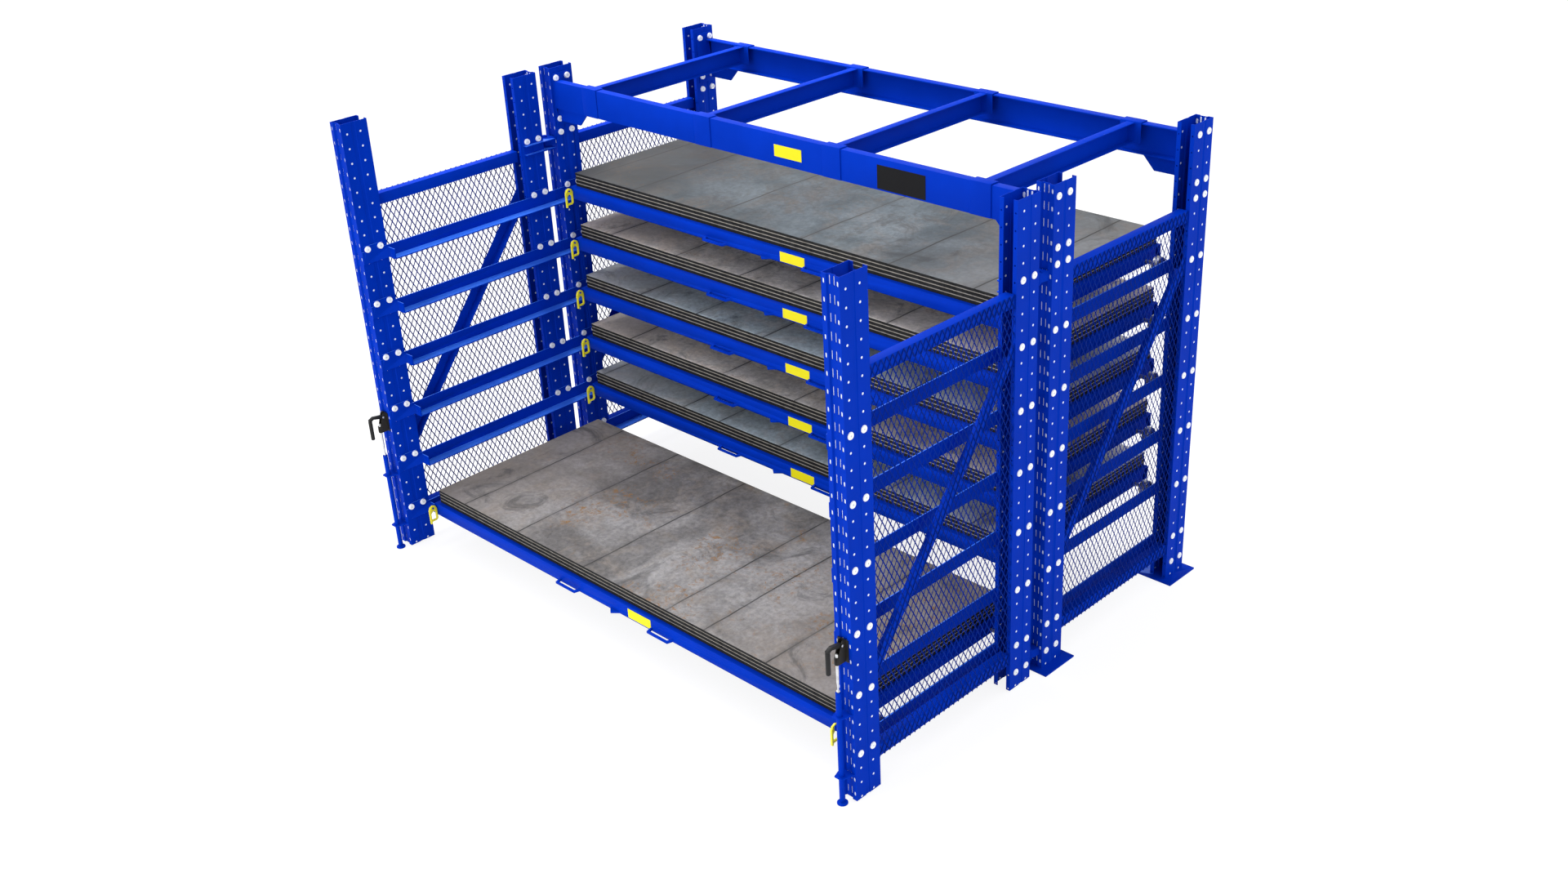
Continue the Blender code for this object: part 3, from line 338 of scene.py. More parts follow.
def make_sheet_texture():
    """Stored steel sheet: clouds, rolling streaks, dark seams across, stains and freckles of rust."""
    tree, given, out = shader_group(
        "sheet_texture",
        {"Light": (0.3, 0.3, 0.3, 1), "Dark": (0.1, 0.1, 0.1, 1), "Warm": (0.3, 0.25, 0.2, 1), "Rust": 0.3,
         "Seams": 1.9, "Light drift": 0.0}, TEXTURE_OUTPUTS)
    where = put(tree, "ShaderNodeTexCoord").outputs["Object"]
    parts = put(tree, "ShaderNodeSeparateXYZ", Vector=where).outputs
    cloud = noise(tree, where, 1.7, 6, 0.62, 0.6)
    patch = noise(tree, where, 4.5, 8, 0.68, 0.9)
    mottled = noise(tree, where, 38, 6, 0.7, 0.3)
    drawn_out = put(tree, "ShaderNodeMapping", {"vector_type": "POINT"}, Vector=where, Scale=(34, 2.2, 1))
    streak = noise(tree, drawn_out.outputs["Vector"], 1.0, 6, 0.6)

    # The seams run across at uneven distances, different in each drawer, and fade in and out on their way
    wobble = times(tree, noise(tree, where, 2.0, 3), 0.035)
    along = times(tree, plus(tree, parts["X"], wobble), given.outputs["Seams"])
    shifted = plus(tree, along, times(tree, parts["Z"], 7.31))
    crack = put(tree, "ShaderNodeTexVoronoi", {"voronoi_dimensions": "1D", "feature": "DISTANCE_TO_EDGE"},
                W=shifted, Scale=1.0).outputs["Distance"]
    fade = stretch(tree, noise(tree, where, 3.0, 4), 0.33, 0.58)
    seam = times(tree, stretch(tree, crack, 0.002, 0.015, 1.0, 0.0), plus(tree, times(tree, fade, 0.5), 0.5))
    beside = times(tree, stretch(tree, crack, 0.015, 0.075, 1.0, 0.0), 0.22)

    # Bare metal: its clouds, warmer patches and grain, browner at both ends, and painted light that makes it
    # brighter to one side
    tone = mixed(tree, stretch(tree, cloud, 0.34, 0.66), given.outputs["Dark"], given.outputs["Light"])
    warmer = times(tree, stretch(tree, patch, 0.45, 0.68), 0.6)
    tone = mixed(tree, warmer, tone, given.outputs["Warm"])
    grain = stretch(tree, mottled, 0.3, 0.7, 0.74, 1.20)
    tone = shaded(tree, tone, times(tree, grain, stretch(tree, streak, 0.3, 0.7, 0.95, 1.04)))
    to_the_ends = stretch(tree, sums(tree, "ABSOLUTE", parts["X"]), 0.4, 1.5)
    tone = mixed(tree, times(tree, to_the_ends, 0.45), tone, given.outputs["Warm"])
    # Painted light: brighter to the right, darker to the left
    tone = shaded(tree, tone, plus(tree, 1.0, times(tree, parts["X"], given.outputs["Light drift"])))

    # Stains, rust and seams over it
    stain = stretch(tree, noise(tree, where, 3.6, 9, 0.74, 1.0), 0.52, 0.68)
    tone = mixed(tree, times(tree, stain, 0.62), tone, STAIN_COLOUR)
    rust_place = stretch(tree, noise(tree, where, 2.3, 3, 0.5, 0.4), 0.50, 0.62)
    freckle = stretch(tree, noise(tree, where, 26, 8, 0.78, 1.0), 0.52, 0.62)
    rust = times(tree, times(tree, rust_place, freckle), given.outputs["Rust"])
    tone = mixed(tree, rust, tone, RUST_COLOUR)
    tone = mixed(tree, beside, tone, SOIL_COLOUR)
    tree.links.new(mixed(tree, seam, tone, SEAM_COLOUR), out.inputs["Colour"])
    rough = plus(tree, 0.46, times(tree, mottled, 0.25))
    tree.links.new(plus(tree, rough, times(tree, rust, 0.2)), out.inputs["Roughness"])
    tree.links.new(sums(tree, "SUBTRACT", times(tree, mottled, 0.4), seam), out.inputs["Height"])
    return tree


def make_metal_texture():
    """Fine brushed grain and dull spots of plated or bare metal."""
    tree, given, out = shader_group(
        "metal_texture",
        {"Colour": (0.8, 0.8, 0.8, 1), "Dull colour": (0.5, 0.5, 0.5, 1), "Roughness": 0.3, "Grain": 220.0},
        TEXTURE_OUTPUTS)
    where = put(tree, "ShaderNodeTexCoord").outputs["Object"]
    spots = stretch(tree, noise(tree, where, 30, 5, 0.65), 0.4, 0.7)
    fine = put(tree, "ShaderNodeTexNoise", Vector=where, Scale=given.outputs["Grain"], Detail=4.0)
    colour = mixed(tree, spots, given.outputs["Colour"], given.outputs["Dull colour"])
    tree.links.new(colour, out.inputs["Colour"])
    tree.links.new(plus(tree, given.outputs["Roughness"], times(tree, spots, 0.18)), out.inputs["Roughness"])
    tree.links.new(fine.outputs["Fac"], out.inputs["Height"])
    return tree


def finish_material(name, group, values, metallic=0.0, bump=0.1, bump_depth=0.0003, coat=0.0, specular=0.5):
    """A Principled material fed by a texture group; what is the same all over is set on the shader itself."""
    made = bpy.data.materials.new(name)
    made.use_nodes = True
    tree = made.node_tree
    shader = tree.nodes["Principled BSDF"]
    shader.inputs["Metallic"].default_value = metallic
    shader.inputs["Coat Weight"].default_value = coat
    shader.inputs["Coat Roughness"].default_value = COAT_ROUGHNESS
    shader.inputs["Specular IOR Level"].default_value = specular
    texture = put(tree, "ShaderNodeGroup", {"node_tree": group})
    for label, value in values.items():
        texture.inputs[label].default_value = value if isinstance(value, float) else (*value, 1)
    tree.links.new(texture.outputs["Colour"], shader.inputs["Base Color"])
    tree.links.new(texture.outputs["Roughness"], shader.inputs["Roughness"])
    relief = put(tree, "ShaderNodeBump", Strength=bump, Distance=bump_depth, Height=texture.outputs["Height"])
    tree.links.new(relief.outputs["Normal"], shader.inputs["Normal"])
    return made


paint_texture = make_paint_texture()
sheet_texture = make_sheet_texture()
metal_texture = make_metal_texture()


def paint(name, colour, deep_colour, roughness, scuffs, **looks):
    """A coat of paint, in its lighter and its deeper tone."""
    values = {"Colour": colour, "Deep colour": deep_colour, "Roughness": roughness, "Scuffs": scuffs}
    return finish_material(name, paint_texture, values, **looks)


def metal(name, colour, dull_colour, roughness, grain=220.0, **looks):
    """A plated or bare metal, in its clean and its dull tone."""
    values = {"Colour": colour, "Dull colour": dull_colour, "Roughness": roughness, "Grain": grain}
    return finish_material(name, metal_texture, values, **looks)


def steel_sheet(name, light, dark, warm, rust, seams=1.9, light_drift=0.0, **looks):
    """A stored sheet of steel, in three tones; light drift is painted light that makes it brighter to the right.
    """
    values = {"Light": light, "Dark": dark, "Warm": warm, "Rust": rust, "Seams": seams, "Light drift": light_drift}
    return finish_material(name, sheet_texture, values, metallic=0.1, **looks)


blue = paint("blue_powder_coat", (0.0, 0.031, 0.43), (0.0, 0.027, 0.38), 0.50, 0.01, specular=0.02)
# Painted shade: the mesh gets a darker copy of the blue coat, for the shade on strands seen from their unlit
# side
shaded_mesh_blue = paint("blue_mesh_painted_shade", (0.0, 0.021, 0.26), (0.0, 0.014, 0.18), 0.60, 0.01, specular=0.03)
# Painted highlight: a lighter blue on the rails' upward track faces, for the light that falls on them from above
track_highlight_blue = paint("rail_track_painted_highlight", (0.045, 0.200, 0.90), (0.030, 0.150, 0.76), 0.40, 0.20, specular=0.20)
yellow = paint("yellow_enamel", (0.86, 0.78, 0.01), (0.76, 0.66, 0.01), 0.38, 0.35, coat=0.2)
label_yellow = paint("label_yellow", (0.80, 0.72, 0.005), (0.74, 0.65, 0.005), 0.45, 0.12,
                     bump=0.04, specular=0.2)
label_black = paint("label_black", (0.006, 0.006, 0.007), (0.004, 0.004, 0.005), 0.5, 0.03,
                    bump=0.04, specular=0.12)
black = paint("black_oxide", (0.012, 0.010, 0.008), (0.007, 0.006, 0.005), 0.45, 0.2, bump=0.12, specular=0.25)
grip_black = paint("black_grip", (0.012, 0.012, 0.012), (0.007, 0.007, 0.007), 0.5, 0.1,
                   bump=0.25, specular=0.25)
plug_white = paint("pale_plug", (0.76, 0.81, 0.92), (0.70, 0.76, 0.88), 0.5, 0.02, bump=0.03)
zinc = metal("bright_zinc", (0.90, 0.92, 0.95), (0.84, 0.86, 0.90), 0.45, bump=0.06)
reflection_spot_grey = metal("bolt_head_painted_reflection", (0.66, 0.66, 0.68), (0.50, 0.50, 0.52), 0.55, metallic=0.1)
bright_steel = metal("bright_steel", (0.82, 0.83, 0.84), (0.62, 0.63, 0.65), 0.26, metallic=0.9)
wheel_steel = metal("wheel_steel", (0.42, 0.43, 0.45), (0.25, 0.25, 0.26), 0.40, metallic=0.85, bump=0.15)
# Painted shade: the sheets' side faces are black for the shadow under the top edge and in the gaps between the
# sheets
gap_shade_black = metal("sheet_side_painted_shade", (0.014, 0.014, 0.013), (0.007, 0.007, 0.007), 0.55, 90.0,
                   bump=0.3, specular=0.15)
strip_tan = metal("packing_strip", (0.33, 0.305, 0.265), (0.23, 0.21, 0.18), 0.7, 60.0, bump=0.4, specular=0.2)
# Brightness here is partly painted light and shade: the top and bottom stacks, which the lamps reach, are
# darker. The warm and cool stacks, in the shade of the drawers above, are lighter. Their hues, seams and rust
# are their own
top_sheet = steel_sheet(
    "top_sheet", (0.118, 0.138, 0.152), (0.052, 0.067, 0.077), (0.112, 0.097, 0.086),
    0.15, light_drift=0.33, bump=0.5, bump_depth=0.0006, specular=0.2)
cool_sheet = steel_sheet(
    "cool_grey_sheet", (0.510, 0.600, 0.640), (0.340, 0.400, 0.430), (0.550, 0.520, 0.485),
    0.15, bump=0.5, bump_depth=0.0006, specular=0.3)
warm_sheet = steel_sheet(
    "warm_grey_sheet", (0.780, 0.740, 0.690), (0.420, 0.392, 0.360), (0.720, 0.610, 0.505),
    0.60, bump=0.5, bump_depth=0.0006, specular=0.3)
weathered_and_shaded_sheet = steel_sheet(
    "weathered_and_shaded_sheet", (0.285, 0.274, 0.268), (0.115, 0.108, 0.104), (0.225, 0.190, 0.158),
    0.90, seams=2.1, bump=0.6, bump_depth=0.0007, specular=0.2)


# Geometry node trees

def geometry_tree(name, sockets):
    """A Geometry Nodes tree with named inputs after its geometry."""
    tree = bpy.data.node_groups.new(name, "GeometryNodeTree")
    tree.interface.new_socket("Geometry", in_out="INPUT", socket_type="NodeSocketGeometry")
    tree.interface.new_socket("Geometry", in_out="OUTPUT", socket_type="NodeSocketGeometry")
    for label, kind in sockets.items():
        tree.interface.new_socket(label, in_out="INPUT", socket_type="NodeSocket" + kind)
    return tree, tree.nodes.new("NodeGroupInput").outputs, tree.nodes.new("NodeGroupOutput").inputs["Geometry"]


def close_tree(tree, geometry, material, target):
    """Ends a tree with Realize Instances and Set Material."""
    real = put(tree, "GeometryNodeRealizeInstances", Geometry=geometry).outputs[0]
    tree.links.new(put(tree, "GeometryNodeSetMaterial", Geometry=real, Material=material).outputs[0], target)


def vector(tree, x=0.0, y=0.0, z=0.0):
    return put(tree, "ShaderNodeCombineXYZ", X=x, Y=y, Z=z).outputs[0]


def add_object(name, data):
    """A new object in the scene."""
    made = bpy.data.objects.new(name, data)
    bpy.context.scene.collection.objects.link(made)
    return made


def plain_mesh(holder):
    """The plain mesh that an object's modifiers give; the object is removed."""
    graph = bpy.context.evaluated_depsgraph_get()
    mesh = bpy.data.meshes.new_from_object(holder.evaluated_get(graph), depsgraph=graph)
    bpy.data.objects.remove(holder)
    return mesh


def grow(tree, values, mesh=None):
    """The plain mesh that a tree gives with these input values, starting from a mesh or from nothing."""
    holder = add_object("holder", mesh or bpy.data.meshes.new("empty"))
    modifier = holder.modifiers.new("nodes", "NODES")
    modifier.node_group = tree
    for item in tree.interface.items_tree:
        if item.in_out == "INPUT" and item.name in values:
            modifier[item.identifier] = values[item.name]
    return plain_mesh(holder)


def disc(tree, sides, radius, depth):
    return put(tree, "GeometryNodeMeshCylinder", Vertices=sides, Radius=radius, Depth=depth).outputs["Mesh"]


def moved(tree, geometry, place, **turn):
    return put(tree, "GeometryNodeTransform", Geometry=geometry, Translation=place, **turn).outputs[0]


def together(tree, shapes):
    whole = put(tree, "GeometryNodeJoinGeometry")
    for shape in shapes:
        tree.links.new(shape, whole.inputs[0])
    return whole.outputs[0]


def repeated(tree, shape, count, start, step):
    """Copies of a shape at even steps."""
    line = put(tree, "GeometryNodeMeshLine", Count=count, Start_Location=start, Offset=step).outputs[0]
    return put(tree, "GeometryNodeInstanceOnPoints", Points=line, Instance=shape).outputs[0]


def slot_shape(tree, width, height, depth):
    """The solid of a slot with round ends: the hull of the discs at its ends."""
    end = disc(tree, SLOT_END_SIDES, width / 2, depth)
    ends = [moved(tree, end, (0, way * (height - width) / 2, 0)) for way in (-1, 1)]
    return put(tree, "GeometryNodeConvexHull", Geometry=together(tree, ends)).outputs[0]


ALONG_X = (0, math.pi / 2, 0)
ALONG_Y = (math.pi / 2, 0, 0)


def upright_tree(name, shapes_of_a_row):
    """A tree that sets the shapes of one row of holes at every row of an upright, which stands along Z."""
    tree, given, out = geometry_tree(name, {
        "Middle": "Vector", "Inner side": "Float", "Outer side": "Float", "Inward": "Float",
        "Rows": "Int", "Pitch": "Float", "First": "Float"})
    middle = put(tree, "ShaderNodeSeparateXYZ", Vector=given["Middle"]).outputs
    shapes = []

    def place(mesh, x, along, rise, turn):
        """One shape, with its distance inward from the slotted face and its rise above the row's holes."""
        y = plus(tree, middle["Y"], times(tree, given["Inward"], along))
        shapes.append(moved(tree, mesh, vector(tree, x, y, rise), Rotation=turn))

    shapes_of_a_row(tree, given, middle, place)
    start, step = vector(tree, z=given["First"]), vector(tree, z=given["Pitch"])
    return tree, given, out, repeated(tree, together(tree, shapes), given["Rows"], start, step)


def punches(tree, given, middle, place):
    """The punches of one row: round ones through both sides and the lips, long ones through the web."""
    length = sums(tree, "ABSOLUTE", sums(tree, "SUBTRACT", given["Outer side"], given["Inner side"]))
    centre_x = sums(tree, "DIVIDE", plus(tree, given["Outer side"], given["Inner side"]), 2.0)
    side_hole = disc(tree, SIDE_HOLE_SIDES, SIDE_HOLE, length)
    for column in SIDE_COLUMNS:
        place(side_hole, centre_x, column, 0.0, ALONG_X)
    for offset, width, height, rise in (OUTER_SLOT, INNER_SLOT):
        slot = slot_shape(tree, width, height, SLOT_PUNCH_DEPTH)
        for way in (-1, 1):
            place(slot, plus(tree, middle["X"], way * offset), SLOT_PUNCH_DEPTH / 2 - FACE_REACH, rise, ALONG_Y)
    lip_hole = disc(tree, LIP_HOLE_SIDES, LIP_HOLE, LIP_PUNCH_DEPTH)
    for way in (-1, 1):
        place(lip_hole, plus(tree, middle["X"], way * LIP_COLUMN), UPRIGHT_DEPTH - SHEET_WALL / 2, 0.0, ALONG_Y)


def plugs(tree, given, middle, place):
    """The pale plugs of one row, which show in its side holes and behind its slots."""
    thickness = SHEET_WALL - PLUG_RECESS
    side_plug = disc(tree, SIDE_HOLE_SIDES, SIDE_HOLE - PLUG_PLAY, thickness)
    from_outer = sums(tree, "SIGN", sums(tree, "SUBTRACT", middle["X"], given["Outer side"]))
    for column in SIDE_COLUMNS:
        for wall, way in (("Outer side", 1.0), ("Inner side", -1.0)):
            step = times(tree, from_outer, way * (PLUG_RECESS + thickness / 2))
            place(side_plug, plus(tree, given[wall], step), column, 0.0, ALONG_X)
    for (offset, width, height, rise), recess in ((OUTER_SLOT, 0.0), (INNER_SLOT, WEB_RECESS)):
        slot = slot_shape(tree, width + 2 * SLOT_PLUG_LAP, height + 2 * SLOT_PLUG_LAP, SLOT_PLUG_THICKNESS)
        for way in (-1, 1):
            place(slot, plus(tree, middle["X"], way * offset),
                  recess + SHEET_WALL + SLOT_PLUG_THICKNESS / 2, rise, ALONG_Y)


def make_punch_tree():
    """Punches the rows of holes and slots in an upright."""
    tree, given, out, copies = upright_tree("punched_holes", punches)
    cutters = put(tree, "GeometryNodeRealizeInstances", Geometry=copies).outputs[0]
    punch = put(tree, "GeometryNodeMeshBoolean", {"operation": "DIFFERENCE", "solver": "MANIFOLD"})
    tree.links.new(given["Geometry"], punch.inputs["Mesh 1"])
    tree.links.new(cutters, punch.inputs["Mesh 2"])
    close_tree(tree, punch.outputs["Mesh"], blue, out)
    return tree


def make_plug_tree():
    """The plugs of all rows of an upright."""
    tree, given, out, copies = upright_tree("hole_plugs", plugs)
    close_tree(tree, copies, plug_white, out)
    return tree


def make_mesh_tree():
    """Expanded metal in the YZ plane: tilted zigzag strands side by side, which meet at their corners."""
    tree, given, out = geometry_tree("expanded_metal", {
        "Corner": "Vector", "Columns": "Int", "Rows": "Int", "Cell width": "Float", "Cell height": "Float",
        "Strand width": "Float", "Strand thickness": "Float", "Tilt": "Float"})
    half_width = sums(tree, "DIVIDE", given["Cell width"], 2.0)
    rise = vector(tree, z=sums(tree, "DIVIDE", given["Cell height"], 2.0))
    points = plus(tree, times(tree, given["Rows"], 2.0), 1.0)
    line = put(tree, "GeometryNodeMeshLine", Count=points, Offset=rise)
    odd = sums(tree, "MODULO", put(tree, "GeometryNodeInputIndex").outputs[0], 2.0)
    swing = vector(tree, y=times(tree, sums(tree, "SUBTRACT", odd, 0.5), half_width))
    bent = put(tree, "GeometryNodeSetPosition", Geometry=line.outputs[0], Offset=swing).outputs[0]
    curve = put(tree, "GeometryNodeMeshToCurve", Mesh=bent).outputs[0]
    turned = put(tree, "GeometryNodeSetCurveTilt", Curve=curve, Tilt=given["Tilt"]).outputs[0]
    profile = put(tree, "GeometryNodeCurvePrimitiveQuadrilateral", Width=given["Strand width"],
                  Height=given["Strand thickness"]).outputs[0]
    strand = put(tree, "GeometryNodeCurveToMesh", Curve=turned, Profile_Curve=profile,
                 Fill_Caps=True).outputs[0]
    places = put(tree, "GeometryNodeMeshLine", Count=times(tree, given["Columns"], 2.0),
                 Start_Location=given["Corner"], Offset=vector(tree, y=half_width)).outputs[0]
    about = vector(tree, z=times(tree, odd, math.pi))
    copies = put(tree, "GeometryNodeInstanceOnPoints", Points=places, Instance=strand, Rotation=about)
    # The strands take the darker blue of painted shade
    close_tree(tree, copies.outputs[0], shaded_mesh_blue, out)
    return tree


def make_bolt_tree():
    """A round bolt head with its washer, and a grey spot of painted reflection on its top, at each point of a
    mesh, turned the way that the point's bolt faces.
    """
    tree, given, out = geometry_tree("bolt_heads", {
        "Radius": "Float", "Height": "Float", "Washer radius": "Float", "Washer thickness": "Float",
        "Reflection spot radius": "Float"})
    stem_top = times(tree, given["Height"], STEM_SHARE)
    stem = disc(tree, HEAD_SIDES, given["Radius"], stem_top)
    crown = put(tree, "GeometryNodeMeshCone", Vertices=HEAD_SIDES, Radius_Bottom=given["Radius"],
                Radius_Top=times(tree, given["Radius"], CROWN_SHARE),
                Depth=sums(tree, "SUBTRACT", given["Height"], stem_top)).outputs["Mesh"]
    washer = disc(tree, HEAD_SIDES, given["Washer radius"], given["Washer thickness"])
    # The grey spot on top is a painted reflection
    socket = disc(tree, REFLECTION_SPOT_SIDES, given["Reflection spot radius"], REFLECTION_SPOT_DEPTH)
    plated = together(tree, [
        moved(tree, stem, vector(tree, z=sums(tree, "DIVIDE", stem_top, 2.0))),
        moved(tree, crown, vector(tree, z=stem_top)),
        moved(tree, washer, vector(tree, z=sums(tree, "DIVIDE", given["Washer thickness"], 2.0)))])
    whole = together(tree, [
        put(tree, "GeometryNodeSetMaterial", Material=reflection_spot_grey,
            Geometry=moved(tree, socket, vector(tree, z=given["Height"]))).outputs[0],
        put(tree, "GeometryNodeSetMaterial", Material=zinc, Geometry=plated).outputs[0]])
    facing = put(tree, "GeometryNodeInputNamedAttribute", {"data_type": "FLOAT_VECTOR"}, Name="facing")
    turn = put(tree, "FunctionNodeAlignRotationToVector", {"axis": "Z", "pivot_axis": "AUTO"},
               Vector=facing.outputs[0]).outputs[0]
    copies = put(tree, "GeometryNodeInstanceOnPoints", Points=given["Geometry"], Instance=whole, Rotation=turn)
    tree.links.new(put(tree, "GeometryNodeRealizeInstances", Geometry=copies.outputs[0]).outputs[0], out)
    return tree


def make_stack_tree():
    """Sheets of steel with packing strips between them, all of one size."""
    tree, given, out = geometry_tree("sheet_stack", {
        "Low": "Vector", "Length": "Float", "Width": "Float", "Sheet": "Float", "Strip": "Float",
        "Recess": "Float", "Count": "Int"})
    less = times(tree, given["Recess"], 2.0)
    sheet_size = vector(tree, given["Length"], given["Width"], given["Sheet"])
    strip_size = vector(tree, sums(tree, "SUBTRACT", given["Length"], less),
                        sums(tree, "SUBTRACT", given["Width"], less), given["Strip"])
    half_sheet = sums(tree, "DIVIDE", given["Sheet"], 2.0)
    half_strip = plus(tree, given["Sheet"], sums(tree, "DIVIDE", given["Strip"], 2.0))
    step = vector(tree, z=plus(tree, given["Sheet"], given["Strip"]))
    layers = []
    for size, rise, fewer in ((sheet_size, half_sheet, 0.0), (strip_size, half_strip, 1.0)):
        solid = moved(tree, put(tree, "GeometryNodeMeshCube", Size=size).outputs[0], vector(tree, z=rise))
        layers.append(repeated(tree, solid, sums(tree, "SUBTRACT", given["Count"], fewer), given["Low"], step))
    close_tree(tree, together(tree, layers), gap_shade_black, out)
    return tree


punch_tree = make_punch_tree()
plug_tree = make_plug_tree()
mesh_tree = make_mesh_tree()
bolt_tree = make_bolt_tree()
stack_tree = make_stack_tree()


# Mesh helpers

def at_depth(axis, u, v, depth):
    """A point of an outline square to an axis: (y, z) for X, (x, z) for Y and (x, y) for Z."""
    return {"X": (depth, u, v), "Y": (u, depth, v), "Z": (u, v, depth)}[axis]


def prism(shape, outline, axis, start, end, side=1):
    """Adds an outline extruded along an axis; side -1 mirrors it to the left of the rack."""
    rings = []
    for depth in (start, end):
        ring = []
        for u, v in outline:
            x, y, z = at_depth(axis, u, v, depth)
            ring.append(shape.verts.new((side * x, y, z)))
        rings.append(ring)
    shape.faces.new(rings[0])
    shape.faces.new(rings[1])
    for index in range(len(outline)):
        shape.faces.new((rings[0][index - 1], rings[0][index], rings[1][index], rings[1][index - 1]))


def spun(shape, profile, centre, axis, side=1):
    """Adds a turned piece from (radius, distance along the axis) pairs; both ends lie on the axis."""
    rings = []
    sides = TURNED_SIDES
    for radius, along in profile:
        angles = [2 * math.pi * index / sides for index in range(sides)] if radius else [0.0]
        ring = []
        for angle in angles:
            u = centre[0] + radius * math.cos(angle)
            v = centre[1] + radius * math.sin(angle)
            x, y, z = at_depth(axis, u, v, along)
            ring.append(shape.verts.new((side * x, y, z)))
        rings.append(ring)
    for low, high in zip(rings, rings[1:]):
        for index in range(sides):
            corners = [low[index % len(low)], low[(index + 1) % len(low)],
                       high[(index + 1) % len(high)], high[index % len(high)]]
            shape.faces.new(list(dict.fromkeys(corners)))


def to_mesh(shape, name):
    """A mesh with its faces pointing out, from a bmesh."""
    bmesh.ops.recalc_face_normals(shape, faces=shape.faces)
    mesh = bpy.data.meshes.new(name)
    shape.to_mesh(mesh)
    shape.free()
    return mesh


def rounded(mesh, width, segments=2):
    """The mesh with its sharp edges rounded."""
    holder = add_object("holder", mesh)
    bevel = holder.modifiers.new("bevel", "BEVEL")
    bevel.width = width
    bevel.segments = segments
    bevel.limit_method = "ANGLE"
    bevel.angle_limit = math.radians(ROUNDED_ABOVE)
    bevel.miter_outer = "MITER_ARC"
    bevel.use_clamp_overlap = True
    return plain_mesh(holder)


def merged_copy(node):
    """A copy of a CAD node's mesh with its loose triangles merged."""
    solid = bmesh.new()
    solid.from_mesh(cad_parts[node].data)
    bmesh.ops.remove_doubles(solid, verts=solid.verts, dist=MERGE_DISTANCE)
    mesh = bpy.data.meshes.new(node + "_merged")
    solid.to_mesh(mesh)
    solid.free()
    return mesh


def flattened(mesh):
    """The mesh with the triangles of each flat face joined."""
    solid = bmesh.new()
    solid.from_mesh(mesh)
    angle = math.radians(FLAT_ANGLE)
    bmesh.ops.dissolve_limit(solid, angle_limit=angle, verts=solid.verts, edges=solid.edges)
    solid.to_mesh(mesh)
    solid.free()
    return mesh


def joined(meshes):
    """One mesh from several, which keeps each one's materials."""
    slots = []
    solid = bmesh.new()
    for mesh in meshes:
        start = len(solid.faces)
        solid.from_mesh(mesh)
        solid.faces.ensure_lookup_table()
        places = []
        for material in mesh.materials:
            if material not in slots:
                slots.append(material)
            places.append(slots.index(material))
        for face in solid.faces[start:]:
            face.material_index = places[min(face.material_index, len(places) - 1)]
    made = bpy.data.meshes.new("joined")
    solid.to_mesh(made)
    solid.free()
    for material in slots:
        made.materials.append(material)
    return made


def show(name, mesh, body, replaced=(), material=None, smooth_below=SMOOTH_BELOW):
    """A finished piece that rides on a body."""
    if material:
        mesh.materials.clear()
        mesh.materials.append(material)
    mesh.name = name
    mesh.shade_smooth()
    mesh.set_sharp_from_angle(angle=math.radians(smooth_below))
    made = add_object(name, mesh)
    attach(made, body)
    if replaced:
        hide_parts(*replaced)


def refined(node, body, material, width):
    """A CAD node's shape, with rounded edges where a width is given, in place of the node."""
    mesh = merged_copy(node)
    if width:
        mesh = rounded(flattened(mesh), width)
    show(node + "_detail", mesh, body, [node], material)


# The pieces

SIDES = (("left", -1), ("right", 1))


def build_uprights():
    """The uprights with their punched holes and a painted highlight on the rails' upward track faces, and the
    plugs that show in the holes.
    """
    for word, side in SIDES:
        for name, carrier, face, inward in UPRIGHTS:
            node, body = name.format(word), carrier.format(word)
            values = {
                "Middle": (side * MIDDLE, face, 0.0), "Inner side": side * (INNER_SIDE - INNER_REACH),
                "Outer side": side * (OUTER_SIDE + OUTER_REACH), "Inward": float(inward),
                "Rows": HOLE_ROWS, "Pitch": HOLE_PITCH, "First": HOLE_FIRST}
            punched = grow(punch_tree, values, merged_copy(node))
            punched.materials.append(track_highlight_blue)
            # The upward faces over the rails' tracks get the painted highlight
            for part in punched.polygons:
                if part.normal.z > LEVEL_FACE and TRACK_EDGES[0] < abs(part.center.x) < TRACK_EDGES[1]:
                    part.material_index = len(punched.materials) - 1
            show(node + "_punched", punched, body, [node], smooth_below=BEAD_SHARP)
            values |= {"Inner side": side * INNER_SIDE, "Outer side": side * OUTER_SIDE}
            show(node + "_plugs", grow(plug_tree, values), body)


def bolt_points(places):
    """A mesh of points, each with the way that its bolt faces."""
    mesh = bpy.data.meshes.new("bolt_places")
    mesh.from_pydata([point for point, facing in places], [], [])
    facing = mesh.attributes.new("facing", "FLOAT_VECTOR", "POINT")
    facing.data.foreach_set("vector", [value for point, way in places for value in way])
    return mesh


def bolts_at(side, y, rows, seat):
    """The bolts through an upright at some rows, each with the way it faces; the inner ones have a seat."""
    return [((side * x, y, row_z(row)), (side * way, 0, 0))
            for row in rows for x, way in ((INNER_SIDE - seat, -1), (OUTER_SIDE, 1))]


def bolt_heads(places):
    """The bolts of a body: raised heads on the inner side of the uprights, low ones on their outer side."""
    heads = []
    for inside, height in ((True, HEAD_HEIGHT), (False, LOW_HEAD_HEIGHT)):
        chosen = [(point, way) for point, way in places if (point[0] * way[0] < 0) == inside]
        values = {"Radius": HEAD_RADIUS, "Height": height, "Washer radius": WASHER_RADIUS,
                  "Washer thickness": WASHER_THICKNESS, "Reflection spot radius": REFLECTION_SPOT_RADIUS}
        heads.append(grow(bolt_tree, values, bolt_points(chosen)))
    return joined(heads)


